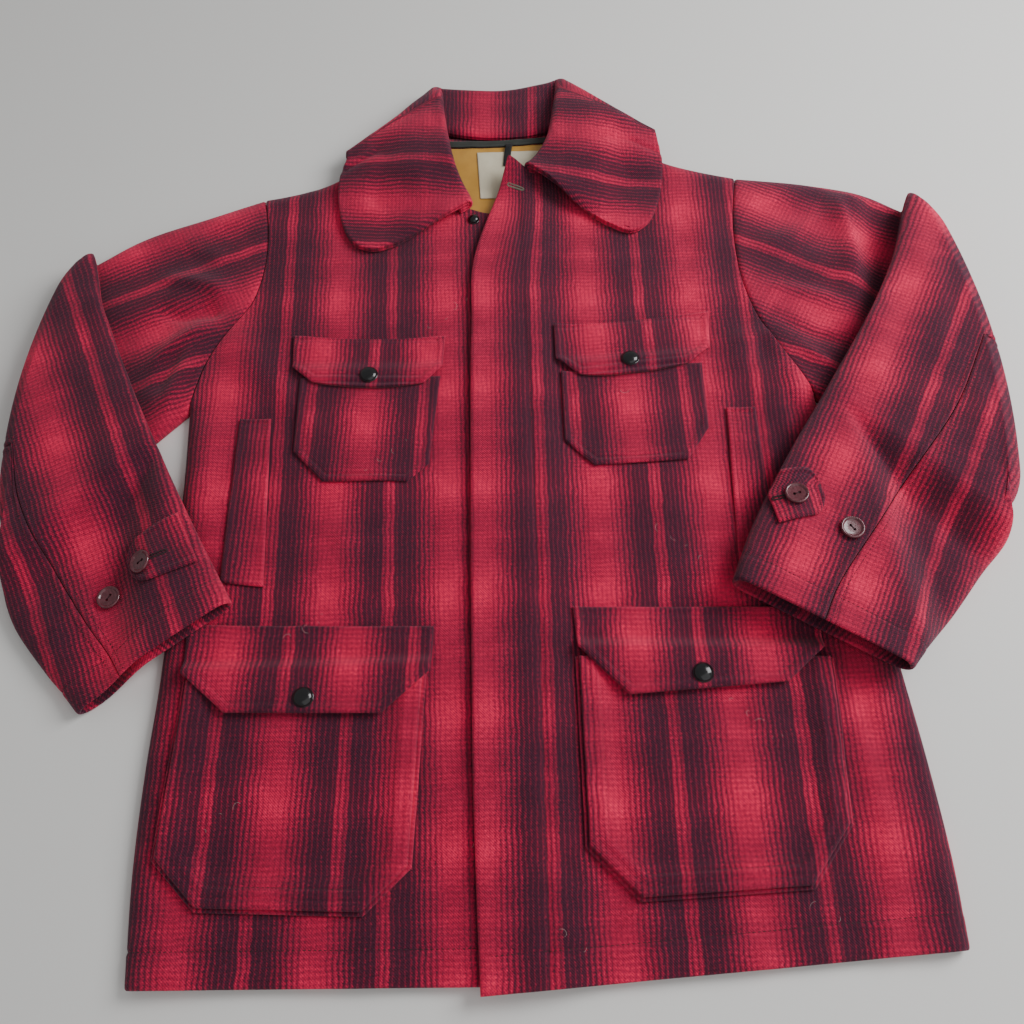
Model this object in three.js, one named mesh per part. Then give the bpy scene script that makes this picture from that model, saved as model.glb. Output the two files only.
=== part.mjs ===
// A plaid wool mackinaw jacket lying flat on its back, sleeves folded back over the body.
// Millimetres. +X is the viewer's right, +Y runs towards the collar, +Z is up from the floor.
// "Right" and "left" in the names are the wearer's, so the right side lies at the viewer's left.
import * as THREE from 'three';

// Cloth thicknesses and clearances
const wool = 2.8;
const satin = 1.0;
const tape = 1.2;
const seamGap = 0.3;
const armholeGap = 0.5;
const layGap = 0.5;

// Heights of the laid body above its lowest edge
const flatRise = 6.2;
const puffRise = 9.2;
const puffReach = 38;
const rollWidth = 13;
const lapRise = 2 * (wool + layGap);
const lapSlope = 46;

// The collar's back fall lies under the back panel's neck end, which it lifts
const fallStack = 2 * (wool + seamGap) + layGap;
const fallFrom = 350;
const fallFull = 396;
const rampSlack = 0.9;
const neckTilt = 0.1;
const neckCentre = -14;
const fallHalfWidth = 122;
const fallFade = 60;

// A turned-up corner at the top of the lap
const lapTip = { x: -4, y: 378, lift: 13, reach: 30 };
const tipSlack = 0.3;

// Snaps and buttons
const snapRadius = 8.3;
const snapHeight = 4.6;
const snapRim = 0.9;
const neckSnapRadius = 5.6;
const buttonRadius = 10;
const buttonHeight = 3.4;
const buttonRim = 2.2;
const buttonDish = 1.4;
const roundSides = 14;

function table(columns, rows) {
  return rows.map((row) => Object.fromEntries(columns.map((name, i) => [name, row[i]])));
}

// The armholes, from the armpit up to the shoulder point
const armholes = {
  right: table(['x', 'y'], [
    [-292, 95], [-282, 148], [-264, 187], [-247, 218], [-240, 256], [-240, 300], [-247.7, 344],
  ]),
  left: table(['x', 'y'], [
    [276, 112], [262, 142], [241, 181], [226, 222], [219.5, 268], [220, 322], [226.3, 373],
  ]),
};

// The side seams, from the hem up to the armpit
const sides = {
  right: table(['x', 'y'], [
    [-274, -376], [-281, -300], [-283, -225], [-282, -150], [-284, -70], [-287, 20], [-292, 95],
  ]),
  left: table(['x', 'y'], [
    [329, -349.5], [328, -288], [322, -215], [314, -146], [304, -65], [291, 25], [276, 112],
  ]),
};

const neckPoints = { right: { x: -80, y: 428 }, left: { x: 58, y: 440 } };
const shoulderSag = { right: 13, left: 8 };

// The fronts' inner edges: up the centre to the corner, then round the neckline
const frontEdges = {
  right: table(['x', 'y'], [
    [21, -373], [20, -290], [19, -215], [18, -140], [15, -60], [12, 20], [9, 100],
    [7, 160], [5, 230], [2, 324], [-34, 329], [-60, 348], [-80, 428],
  ]),
  left: table(['x', 'y'], [
    [-22, -379.5], [-26.5, -300], [-30, -225], [-32, -150], [-34, -70], [-36, 20], [-37.5, 110],
    [-38, 190], [-36, 270], [-4, 378], [18, 372], [38, 400], [58, 440],
  ]),
};
const edgeCorner = 9;

// The stitch line of the lap, where the ply under it ends
const flyLine = table(['x', 'y'], [
  [27, -380], [26, -282], [24, -170], [21.5, -52], [16, 104], [9, 261], [4, 400],
]);

// Soft folds of the body and the upper arms: a ridge (or a valley) along a line
const foldColumns = ['x0', 'y0', 'x1', 'y1', 'width', 'height'];
const foldSharpness = 1.6;
const foldTaper = 0.35;
const bodyFolds = {
  right: table(foldColumns, [
    [-256, 168, -205, 112, 26, 3.5],
    [-268, 60, -262, -40, 20, 2],
    [-120, 10, -150, -60, 40, 1.6],
  ]),
  left: table(foldColumns, [
    [243, 176, 258, 118, 15, 5],
    [214, 170, 222, 108, 20, 3],
    [120, 20, 150, -50, 40, 1.6],
  ]),
};
const sleeveFolds = {
  right: table(foldColumns, [
    [-288, 184, -318, 112, 24, 7],
    [-286, 234, -372, 204, 30, 4.5],
    [-300, 206, -362, 178, 18, -3],
  ]),
  left: table(foldColumns, [
    [338, 336, 322, 190, 24, 8],
    [236, 300, 318, 262, 30, 3.5],
    [252, 176, 300, 158, 22, 4],
  ]),
};

// Sleeve rings: the two edges of the flattened tube, its outward bow, and its rises above and
// below the widest line. Rows up to the crease are the upper arm, the others the forearm.
const sleeveColumns = ['aX', 'aY', 'bX', 'bY', 'bow', 'above', 'below', 'lift'];
const upperArms = {
  right: table(sleeveColumns, [
    [-247.7, 344, -292, 95, 0, 1, 3.1, 0],
    [-300, 321, -326, 58, 2, 1, 3.1, 0],
    [-355, 297, -366, 14, 9, 1, 3.1, 0],
    [-408, 262, -417, -38, 20, 1, 3.1, 0],
  ]),
  left: table(sleeveColumns, [
    [226.3, 373, 276, 112, 0, 1, 3.1, 0],
    [292, 365, 320, 78, 2, 1, 3.1, 0],
    [348, 352, 368, 36, 9, 1, 3.1, 0],
    [394, 329, 412, -12, 22, 1, 3.1, 0],
  ]),
};
const forearms = {
  right: table(sleeveColumns, [
    [-408, 262, -417, -38, 20, 6.2, 6.2, 16.4],
    [-366, 167, -423, -70, 12, 6.2, 6.2, 16.4],
    [-319, 72, -408, -106, 5, 6.2, 6.2, 17],
    [-272, -14, -377, -143, 2, 6.2, 6.2, 17.4],
    [-244, -62, -355, -165, 0, 6.6, 6.6, 17.4],
    [-226, -92.5, -341, -180, 0, 7.6, 7.6, 17.4],
  ]),
  left: table(sleeveColumns, [
    [394, 329, 412, -12, 22, 6.4, 6.4, 25],
    [341, 212, 414, -36, 12, 6.4, 6.4, 23],
    [282, 113, 391, -64, 5, 6.6, 6.6, 21],
    [238, 43, 359, -102, 2, 7, 7, 20.4],
    [200, -25, 327, -133, 0, 8.4, 8.4, 20.4],
    [178, -76, 312, -150, 0, 10.4, 10.4, 20.4],
  ]),
};
const turnSteps = 4;
const armUpperRise = 9.2;
const armRoll = 12;
// Share of the way round a section at which the hind seam runs
const hindSeam = { right: 0.65, left: 0.75 };
const floorClear = 0.4;
const drapeStart = 5;
const drapeReach = 46;

// Collar sections from the right front's leaf round the back of the neck to the left front's leaf.
// Each runs from the neck seam over the roll to the outer edge. turn is 0 where the fall lies over
// the stand, 90 where it stands beside it, and 180 where it lies under it.
const collarColumns = [
  'seamX', 'seamY', 'seamZ', 'rollX', 'rollY', 'rise', 'edgeX', 'edgeY', 'edgeZ', 'turn',
];
const collarRows = table(collarColumns, [
  [-51, 323, 13, -41.5, 329, 0, -112, 283, 13, 0],
  [-55, 329, 13, -43, 334, 0, -134, 275, 13, 0],
  [-61, 339, 13, -46, 342, 0, -154, 282, 13, 0],
  [-70, 354, 14, -53, 356, 0, -167, 305, 13, 0],
  [-79, 374, 16, -60, 374, 0, -173, 338, 13, 0],
  [-86, 396, 19, -66, 400, 0, -172, 366, 14, 0],
  [-89, 414, 19, -72, 438, 0, -167, 386, 14.5, 6],
  [-87, 427, 18, -76, 470, 0, -168, 393, 12, 45],
  [-82, 431, 15.5, -79, 486, 0, -168, 396, 8.5, 90],
  [-72, 428, 13.6, -75, 488, 1, -152, 398, 4.6, 140],
  [-56, 424, 13, -62, 487, 2, -116, 404, 3.2, 176],
  [-36, 421, 12.9, -38, 484, 3, -64, 407, 3, 180],
  [-14, 420, 12.9, -12, 484, 3, -14, 409, 3, 180],
  [12, 422, 12.9, 12, 488, 3, 32, 412, 3, 180],
  [32, 427, 13, 36, 496, 2, 88, 418, 3.2, 176],
  [48, 433, 13.6, 47, 501, 1, 128, 424, 4.6, 140],
  [58, 440, 15.5, 50, 499, 0, 145, 429, 8.5, 90],
  [64, 438, 18, 49, 484, 0, 147, 423, 12, 45],
  [66, 426, 19, 45, 450, 0, 149, 410, 14.5, 6],
  [62, 410, 19, 40, 416, 0, 152, 390, 14, 0],
  [54, 396, 18, 35, 399, 0, 151, 362, 13, 0],
  [46, 386, 19, 29, 388, 0, 146, 336, 13, 0],
  [38, 378, 19, 23, 379, 0, 135, 310, 13, 0],
  [31, 371, 19, 18, 373, 0, 116, 298, 13, 0],
  [26, 366, 19, 14, 369, 0, 92, 309, 13, 0],
]);
const leafRadius = 3.7;
const backRadius = 4.9;

// Patches laid on the fronts: rows from the lower edge up. sag lowers the middle of a row.
const patchColumns = ['leftX', 'leftY', 'rightX', 'rightY', 'sag'];
const chestPockets = {
  right: table(patchColumns, [
    [-165, 24, -91, 24, 0], [-193, 53, -73, 42, 0], [-193.4, 129, -65.5, 132, 0],
  ]),
  left: table(patchColumns, [
    [72, 39.6, 155, 45.5, 0], [46.7, 64.5, 175.5, 77.7, 0], [44.7, 136.4, 175, 147, 0],
  ]),
};
const chestFlaps = {
  right: table(patchColumns, [
    [-182, 123, -80, 123, 5], [-201.5, 140, -64, 141, 2], [-203.7, 175.6, -62, 175.6, 4],
  ]),
  left: table(patchColumns, [
    [62, 132, 163, 145, 5], [40, 149, 184, 165, 2], [39, 188, 185.7, 204, 4],
  ]),
};
const hipPockets = {
  right: table(patchColumns, [
    [-229, -322, -109, -324.6, 0], [-262.5, -288, -76.6, -293, 0], [-257, -154.5, -71.2, -148, 0],
  ]),
  left: table(patchColumns, [
    [94.4, -314.6, 219.4, -306.4, 0], [57.4, -279, 252.5, -262.5, 0], [53.4, -134, 254.6, -134, 0],
  ]),
};
const hipFlaps = {
  right: table(patchColumns, [
    [-224, -181, -102, -181, 0], [-261, -150, -64.6, -146, 0], [-263, -108, -63.6, -108, 0],
  ]),
  left: table(patchColumns, [
    [92, -166, 218, -155.6, 0], [52.6, -127, 250, -127, 0], [49.5, -91.7, 252, -91, 0],
  ]),
};
const handWelts = {
  right: table(patchColumns, [[-241.8, -71.2, -206, -73.9, 0], [-243.5, 86, -216, 87, 0]]),
  left: table(patchColumns, [[190, -69.4, 225, -67, 0], [193, 98.5, 219, 98.5, 0]]),
};
const snapPlaces = {
  chest_snap_right: { x: -130.4, y: 130.6, radius: snapRadius },
  chest_snap_left: { x: 108.6, y: 147.8, radius: snapRadius },
  hip_snap_right: { x: -163, y: -169, radius: snapRadius },
  hip_snap_left: { x: 151, y: -149, radius: snapRadius },
  neck_snap: { x: -38, y: 317, radius: neckSnapRadius },
};
const gussetWidth = 11;
const gussetShow = 3;
const gussetFade = 2.4;
const flapOverhang = [5, 18];

// Cuff tabs: the root's middle, the direction of the point, length and half width
const cuffTabs = {
  right: { x: -267, y: -38, toX: -313, toY: -62, length: 54, half: 25 },
  left: { x: 214, y: -5, toX: 262, toY: 4, length: 46, half: 25 },
};
const tabMargin = 3;
const cuffButtons = {
  right: [{ x: -301, y: -61, onTab: true }, { x: -329, y: -86, onTab: false }],
  left: [{ x: 236, y: -4, onTab: true }, { x: 279, y: -33, onTab: false }],
};

// Inside the neck
const liningRows = table(patchColumns, [
  [-76, 300, 70, 300, 0], [-96, 360, 84, 368, 0], [-74, 408, 52, 418, 3],
]);
const labelRows = table(patchColumns, [[-32, 347, 29, 348, 0], [-36, 402, 32, 405, 0]]);
const bindingRows = table(patchColumns, [[-70, 409.5, 50, 418.5, 3.4], [-70, 417, 49, 425, 3]]);
const loopRows = table(patchColumns, [[-9, 384, -2, 384, 0], [-8, 400, -1, 400, 0], [-6, 413, 1, 413, 0]]);

// Smooth interpolation down a table. A row in corners keeps its corner sharp.
function rowAt(rows, position, corners = []) {
  const last = rows.length - 1;
  const at = Math.min(Math.max(position, 0), last);
  const i = Math.min(Math.floor(at), last - 1);
  const t = at - i;
  const hasBefore = i > 0 && !corners.includes(i);
  const hasAfter = i + 1 < last && !corners.includes(i + 1);
  const result = {};
  for (const key of Object.keys(rows[i])) {
    const a = rows[i][key];
    const b = rows[i + 1][key];
    const slopeA = hasBefore ? (b - rows[i - 1][key]) / 2 : b - a;
    const slopeB = hasAfter ? (rows[i + 2][key] - a) / 2 : b - a;
    const t2 = t * t;
    const t3 = t2 * t;
    result[key] = a * (2 * t3 - 3 * t2 + 1) + b * (3 * t2 - 2 * t3)
      + slopeA * (t3 - 2 * t2 + t) + slopeB * (t3 - t2);
  }
  return result;
}

function smoothStep(from, to, value) {
  const t = Math.min(Math.max((value - from) / (to - from), 0), 1);
  return t * t * (3 - 2 * t);
}

function mix(a, b, t) {
  return a + (b - a) * t;
}

// Distance to a polyline, and how far along its nearest stretch the nearest point lies
function nearest(x, y, points) {
  let best = { distance: Infinity, along: 0 };
  for (let i = 0; i + 1 < points.length; i += 1) {
    const a = points[i];
    const b = points[i + 1];
    const dx = b.x - a.x;
    const dy = b.y - a.y;
    const raw = ((x - a.x) * dx + (y - a.y) * dy) / (dx * dx + dy * dy);
    const t = Math.min(Math.max(raw, 0), 1);
    const distance = Math.hypot(x - a.x - t * dx, y - a.y - t * dy);
    if (distance < best.distance) {
      best = { distance, along: i + t };
    }
  }
  return best;
}

function inside(x, y, polygon) {
  let hit = false;
  for (let i = 0, j = polygon.length - 1; i < polygon.length; j = i, i += 1) {
    const a = polygon[i];
    const b = polygon[j];
    if ((a.y > y) !== (b.y > y) && x < ((b.x - a.x) * (y - a.y)) / (b.y - a.y) + a.x) {
      hit = !hit;
    }
  }
  return hit;
}

function curvePoints(rows, steps, corners = []) {
  const points = [];
  for (let i = 0; i <= steps; i += 1) {
    points.push(rowAt(rows, (i * (rows.length - 1)) / steps, corners));
  }
  return points;
}

function shoulderLine(side, steps) {
  const from = armholes[side][armholes[side].length - 1];
  const to = neckPoints[side];
  const points = [];
  for (let i = 0; i <= steps; i += 1) {
    const t = i / steps;
    points.push({
      x: mix(from.x, to.x, t),
      y: mix(from.y, to.y, t) - shoulderSag[side] * 4 * t * (1 - t),
    });
  }
  return points;
}

const rolledEdges = {
  right: [curvePoints(sides.right, 24), shoulderLine('right', 10)],
  left: [curvePoints(sides.left, 24), shoulderLine('left', 10)],
};
const flyCurve = curvePoints(flyLine, 24);

// Height gained away from a rolled edge: steep at first, puffed just inside it, then flat
function rollRise(distance, flat, puff, width) {
  const t = Math.min(distance / width, 1);
  const round = Math.sqrt(Math.max(1 - (1 - t) * (1 - t), 0));
  const swell = Math.exp(-(Math.max(distance - width, 0) ** 2) / (puffReach * puffReach));
  return round * (flat + (puff - flat) * swell);
}

function foldRise(folds, x, y) {
  let rise = 0;
  for (const fold of folds) {
    const near = nearest(x, y, [{ x: fold.x0, y: fold.y0 }, { x: fold.x1, y: fold.y1 }]);
    const across = near.distance / fold.width;
    rise += fold.height * Math.exp(-across * across * foldSharpness) * (1 - foldTaper * near.along);
  }
  return rise;
}

function neckRise(x, y) {
  const along = y - neckTilt * (x - neckCentre);
  const off = Math.abs(x - neckCentre);
  const across = 1 - smoothStep(fallHalfWidth, fallHalfWidth + fallFade, off);
  return fallStack * smoothStep(fallFrom, fallFull, along) * across;
}

// Just clear of the back panel, with more room where its facets climb over the fall
function backClear(x, y) {
  const rise = neckRise(x, y);
  return wool + seamGap + rise + rampSlack * Math.min(rise, 1);
}

// The upper surface of a front where nothing lies under it but the back
function bodyTop(side, x, y) {
  const edge = Math.min(...rolledEdges[side].map((line) => nearest(x, y, line).distance));
  const round = Math.min(edge / rollWidth, 1);
  return backClear(x, y) + rollRise(edge, flatRise, puffRise, rollWidth)
    + round * foldRise(bodyFolds[side], x, y);
}

function flyX(y) {
  for (let i = 0; i + 1 < flyCurve.length; i += 1) {
    if (y <= flyCurve[i + 1].y) {
      const t = (y - flyCurve[i].y) / (flyCurve[i + 1].y - flyCurve[i].y);
      return mix(flyCurve[i].x, flyCurve[i + 1].x, t);
    }
  }
  return flyCurve[flyCurve.length - 1].x;
}

function tipRise(x, y) {
  const off = Math.hypot(x - lapTip.x, y - lapTip.y) / lapTip.reach;
  return lapTip.lift * Math.exp(-off * off * 2);
}

function frontTop(side, x, y) {
  const base = bodyTop(side, x, y);
  if (side === 'right') {
    return base;
  }
  const past = x - flyX(y);
  return base + lapRise * (1 - smoothStep(0, lapSlope, past)) + tipRise(x, y);
}

// A closed wall between an outer and an inner grid of points
function wallGeometry(outer, inner) {
  const rows = outer.length;
  const columns = outer[0].length;
  const positions = [];
  for (const grid of [outer, inner]) {
    for (const row of grid) {
      for (const point of row) {
        positions.push(point.x, point.y, point.z);
      }
    }
  }
  const at = (layer, i, j) => layer * rows * columns + i * columns + j;
  const faces = [];
  const quad = (a, b, c, d) => {
    faces.push(a, b, c, a, c, d);
  };
  for (let i = 0; i + 1 < rows; i += 1) {
    for (let j = 0; j + 1 < columns; j += 1) {
      quad(at(0, i, j), at(0, i, j + 1), at(0, i + 1, j + 1), at(0, i + 1, j));
      quad(at(1, i, j), at(1, i + 1, j), at(1, i + 1, j + 1), at(1, i, j + 1));
    }
  }
  for (let j = 0; j + 1 < columns; j += 1) {
    quad(at(0, 0, j + 1), at(0, 0, j), at(1, 0, j), at(1, 0, j + 1));
    quad(at(0, rows - 1, j), at(0, rows - 1, j + 1), at(1, rows - 1, j + 1), at(1, rows - 1, j));
  }
  for (let i = 0; i + 1 < rows; i += 1) {
    quad(at(0, i, 0), at(0, i + 1, 0), at(1, i + 1, 0), at(1, i, 0));
    const end = columns - 1;
    quad(at(0, i + 1, end), at(0, i, end), at(1, i, end), at(1, i + 1, end));
  }
  if (signedVolume(positions, faces) < 0) {
    faces.reverse();
  }
  const geometry = new THREE.BufferGeometry();
  geometry.setAttribute('position', new THREE.Float32BufferAttribute(positions, 3));
  geometry.setIndex(faces);
  geometry.computeVertexNormals();
  return geometry;
}

function signedVolume(positions, faces) {
  let volume = 0;
  const corner = (k) => new THREE.Vector3().fromArray(positions, faces[k] * 3);
  for (let k = 0; k < faces.length; k += 3) {
    volume += corner(k).dot(corner(k + 1).cross(corner(k + 2))) / 6;
  }
  return volume;
}

// A wall that follows a surface, its inner side a ply's thickness along the normal
function offsetGrid(surface, us, vs, depth, lowest) {
  const step = 0.002;
  return vs.map((v) => us.map((u) => {
    const du = u + step <= us[us.length - 1] ? step : -step;
    const dv = v + step <= vs[vs.length - 1] ? step : -step;
    const here = surface(u, v);
    const across = surface(u + du, v).sub(here).multiplyScalar(Math.sign(du));
    const along = surface(u, v + dv).sub(here).multiplyScalar(Math.sign(dv));
    const normal = across.cross(along).normalize();
    const point = here.addScaledVector(normal, -depth);
    if (lowest) {
      point.z = Math.max(point.z, lowest(point.x, point.y));
    }
    return point;
  }));
}

function surfaceGrid(surface, us, vs) {
  return vs.map((v) => us.map((u) => surface(u, v)));
}

// Height of the facets of a laid grid over a point of the floor plan
function facetHeight(grid, x, y) {
  let height = -Infinity;
  for (let i = 0; i + 1 < grid.length; i += 1) {
    for (let j = 0; j + 1 < grid[i].length; j += 1) {
      const [a, b, c, d] = [grid[i][j], grid[i][j + 1], grid[i + 1][j + 1], grid[i + 1][j]];
      height = Math.max(height, triangleHeight(a, b, c, x, y), triangleHeight(a, c, d, x, y));
    }
  }
  return height;
}

function triangleHeight(a, b, c, x, y) {
  const area = (b.x - a.x) * (c.y - a.y) - (c.x - a.x) * (b.y - a.y);
  const s = ((x - a.x) * (c.y - a.y) - (c.x - a.x) * (y - a.y)) / area;
  const t = ((b.x - a.x) * (y - a.y) - (x - a.x) * (b.y - a.y)) / area;
  const slack = -0.02;
  const within = s >= slack && t >= slack && s + t <= 1 - slack;
  return within ? a.z + s * (b.z - a.z) + t * (c.z - a.z) : -Infinity;
}

function spread(count, from = 0, to = 1) {
  return Array.from({ length: count }, (_, i) => mix(from, to, i / (count - 1)));
}

function patchPoint(rows, u, v) {
  const position = v * (rows.length - 1);
  const i = Math.min(Math.floor(position), rows.length - 2);
  const t = position - i;
  const row = {};
  for (const key of patchColumns) {
    row[key] = mix(rows[i][key], rows[i + 1][key], t);
  }
  const bend = row.sag * (1 - (2 * u - 1) ** 2);
  return { x: mix(row.leftX, row.rightX, u), y: mix(row.leftY, row.rightY, u) - bend };
}

// A patch of cloth laid on whatever height its base function gives
function laidPatch(rows, us, vs, thickness, base) {
  const lower = vs.map((v) => us.map((u) => {
    const plan = patchPoint(rows, u, v);
    return new THREE.Vector3(plan.x, plan.y, base(plan.x, plan.y, u, v));
  }));
  return { upper: raised(lower, thickness), lower };
}

function raised(grid, height) {
  return grid.map((row) => row.map((p) => new THREE.Vector3(p.x, p.y, p.z + height)));
}

// Materials
const finishes = {
  plaid: () => new THREE.MeshStandardMaterial({ color: 0x9c2238, roughness: 0.95, metalness: 0 }),
  lining: () => new THREE.MeshStandardMaterial({ color: 0xb8924a, roughness: 0.35, metalness: 0 }),
  label: () => new THREE.MeshStandardMaterial({ color: 0xd6d0b6, roughness: 0.7, metalness: 0 }),
  binding: () => new THREE.MeshStandardMaterial({ color: 0x464a46, roughness: 0.8, metalness: 0 }),
  loop: () => new THREE.MeshStandardMaterial({ color: 0x18181a, roughness: 0.7, metalness: 0 }),
  snap: () => new THREE.MeshStandardMaterial({ color: 0x0c0c0e, roughness: 0.15, metalness: 0.1 }),
  button: () => new THREE.MeshStandardMaterial({ color: 0x4a2630, roughness: 0.3, metalness: 0 }),
};

const group = new THREE.Group();

function addPiece(name, geometry, finish) {
  const mesh = new THREE.Mesh(geometry, finishes[finish]());
  mesh.name = name;
  group.add(mesh);
  return mesh;
}

// The back panel lies on the floor: v is 0 to 1 up the side, to 2 at the armhole's top, to 3 at the neck
const backHemTuck = 3;
const backNeckDip = 10;
const shoulderSteps = 10;

function backEdge(side, v) {
  if (v <= 1) {
    return rowAt(sides[side], v * (sides[side].length - 1));
  }
  if (v <= 2) {
    return rowAt(armholes[side], (v - 1) * (armholes[side].length - 1));
  }
  return rowAt(shoulderLine(side, shoulderSteps), (v - 2) * shoulderSteps);
}

function backSurface(u, v) {
  const from = backEdge('right', v);
  const to = backEdge('left', v);
  const bend = 1 - (2 * u - 1) ** 2;
  const tuck = v === 0 ? backHemTuck : 0;
  const dip = smoothStep(2.5, 3, v) * backNeckDip * bend;
  const x = mix(from.x, to.x, u);
  const y = mix(from.y, to.y, u) + tuck - dip;
  return new THREE.Vector3(x, y, neckRise(x, y) + wool);
}

const edgeColumns = [0, 0.012, 0.035, 0.075];
const backColumns = [...edgeColumns, 0.16, 0.26, 0.35, 0.43, 0.5, 0.57, 0.65, 0.74, 0.84,
  ...edgeColumns.map((u) => 1 - u).reverse()];
const backRows = [...spread(6, 0, 1), ...spread(7, 1, 2).slice(1), 2.2, 2.4, 2.6, 2.8, 3];

function buildBack() {
  const upper = surfaceGrid(backSurface, backColumns, backRows);
  addPiece('back_panel', wallGeometry(upper, raised(upper, -wool)), 'plaid');
  return upper;
}

// A front panel: v runs up the side, the armhole and then closes on the shoulder line
function frontPlan(side, u, v) {
  const sideRows = sides[side].length - 1;
  const armRows = armholes[side].length - 1;
  const outer = v <= sideRows ? rowAt(sides[side], v) : rowAt(armholes[side], v - sideRows);
  const inner = rowAt(frontEdges[side], v, [edgeCorner]);
  const close = smoothStep(sideRows + armRows - 3, sideRows + armRows, v);
  const sag = shoulderSag[side] * close * 4 * u * (1 - u);
  return { x: mix(outer.x, inner.x, u), y: mix(outer.y, inner.y, u) - sag };
}

function frontSurface(side) {
  return (u, v) => {
    const plan = frontPlan(side, u, v);
    return new THREE.Vector3(plan.x, plan.y, frontTop(side, plan.x, plan.y));
  };
}

const frontColumns = {
  right: [0, 0.008, 0.025, 0.05, 0.1, 0.18, 0.28, 0.38, 0.5, 0.62, 0.74, 0.86, 1],
  left: [0, 0.008, 0.025, 0.05, 0.1, 0.19, 0.28, 0.37, 0.46, 0.55, 0.64, 0.7, 0.76, 0.82, 0.87, 0.93, 1],
};
const frontRows = [
  ...spread(8, 0, 4.9), ...spread(10, 5.5, 10), 10.6, 11.1, 11.5, 11.75, 11.9, 12,
];

function buildFront(side) {
  const surface = frontSurface(side);
  const upper = surfaceGrid(surface, frontColumns[side], frontRows);
  const depth = side === 'right' ? wool : -wool;
  const lower = offsetGrid(surface, frontColumns[side], frontRows, depth, backClear);
  addPiece(`front_${side}`, wallGeometry(upper, lower), 'plaid');
  return upper;
}

// The ply under the lap's edge
const flyInset = 4;
const flyShort = 3;

function buildFly() {
  const us = spread(4);
  const vs = frontRows.filter((v) => v <= edgeCorner);
  const upper = vs.map((v) => us.map((u) => {
    const edge = rowAt(frontEdges.left, v, [edgeCorner]);
    const x = mix(edge.x + flyInset, flyX(edge.y) - flyShort, u);
    const y = edge.y + (v === 0 ? flyInset : 0) - (v === edgeCorner ? flyInset : 0);
    const z = frontTop('left', x, y) - wool - layGap - tipSlack * tipRise(x, y);
    return new THREE.Vector3(x, y, z);
  }));
  addPiece('fly_left', wallGeometry(upper, raised(upper, -wool)), 'plaid');
}

// Sleeves
function planRing(side, row, s, fade) {
  const armRows = armholes[side].length - 1;
  const seam = rowAt(armholes[side], (1 - s) * armRows);
  const first = armholes[side][armRows];
  const last = armholes[side][0];
  const offX = seam.x - mix(first.x, last.x, s);
  const offY = seam.y - mix(first.y, last.y, s);
  const outward = side === 'right' ? -1 : 1;
  const bow = row.bow * 4 * s * (1 - s);
  return {
    x: mix(row.aX, row.bX, s) + outward * bow + offX * fade,
    y: mix(row.aY, row.bY, s) + offY * fade,
  };
}

function bodyOutline(side) {
  const other = side === 'right' ? 'left' : 'right';
  const line = [...rolledEdges[side][0], ...curvePoints(armholes[side], 12)];
  const neck = neckPoints[side];
  const across = rolledEdges[other][0][0];
  return [...line, neck, { x: 0, y: neck.y }, { x: 0, y: across.y }];
}

function armOutline(side) {
  const rows = upperArms[side];
  const a = rows.map((row) => ({ x: row.aX, y: row.aY }));
  const b = rows.map((row) => ({ x: row.bX, y: row.bY }));
  const crease = rows[rows.length - 1];
  const bow = [0.25, 0.5, 0.75].map((s) => planRing(side, crease, s, 0));
  return [...a, ...bow, ...b.reverse()];
}

const supports = {
  right: [bodyOutline('right'), armOutline('right')],
  left: [bodyOutline('left'), armOutline('left')],
};

// How fully the forearm is held up: 1 over the body or the upper arm, falling off beside them
function drape(side, x, y) {
  let off = Infinity;
  for (const polygon of supports[side]) {
    const closed = [...polygon, polygon[0]];
    off = Math.min(off, inside(x, y, polygon) ? 0 : nearest(x, y, closed).distance);
  }
  return 1 - smoothStep(drapeStart, drapeReach, off);
}

// Sections along the sleeve. Whole numbers are table rows; the turn over the crease lies between.
function sleeveStations(side) {
  const arm = upperArms[side];
  const fore = forearms[side];
  const stations = [];
  for (const at of [0, 0.4, 0.8, 1.2, 1.6, 2, 2.5, 3]) {
    stations.push({ row: rowAt(arm, at), turn: 0, fade: Math.max(1 - at, 0) ** 1.5, start: at === 0 });
  }
  for (let i = 1; i < turnSteps; i += 1) {
    const t = i / turnSteps;
    const row = {};
    for (const key of sleeveColumns) {
      row[key] = mix(arm[arm.length - 1][key], fore[0][key], t);
    }
    row.above = mix(armUpperRise, fore[0].above, t);
    row.below = mix(arm[0].below, fore[0].below, t);
    stations.push({ row, turn: t * Math.PI, fade: 0 });
  }
  for (const at of [0, 0.4, 0.8, 1.3, 1.8, 2.3, 2.9, 3.5, 4.2, 5]) {
    stations.push({ row: rowAt(fore, at), turn: Math.PI, fade: 0 });
  }
  return stations;
}

// Point of a section. p runs 0 to 0.5 over the top of the upper arm from the outer edge to the
// underarm edge, then 0.5 to 1 back along its underside. inset is the depth into the wall.
const foldRunUp = 20;
const edgeKeep = 0.15;
const foreFolds = 0.9;
const leastRound = 3.2;

function roundOff(reach, width) {
  return Math.sqrt(1 - (1 - Math.min(reach / width, 1)) ** 2);
}

// Heights of the section above and below its widest line
function sectionRises(side, station, reach) {
  const { row, turn } = station;
  if (turn === 0) {
    return {
      above: rollRise(reach, flatRise, puffRise, rollWidth),
      below: row.below * roundOff(reach, Math.max(row.below, leastRound)),
    };
  }
  return { above: row.above * roundOff(reach, armRoll), below: row.below * roundOff(reach, armRoll) };
}

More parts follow.
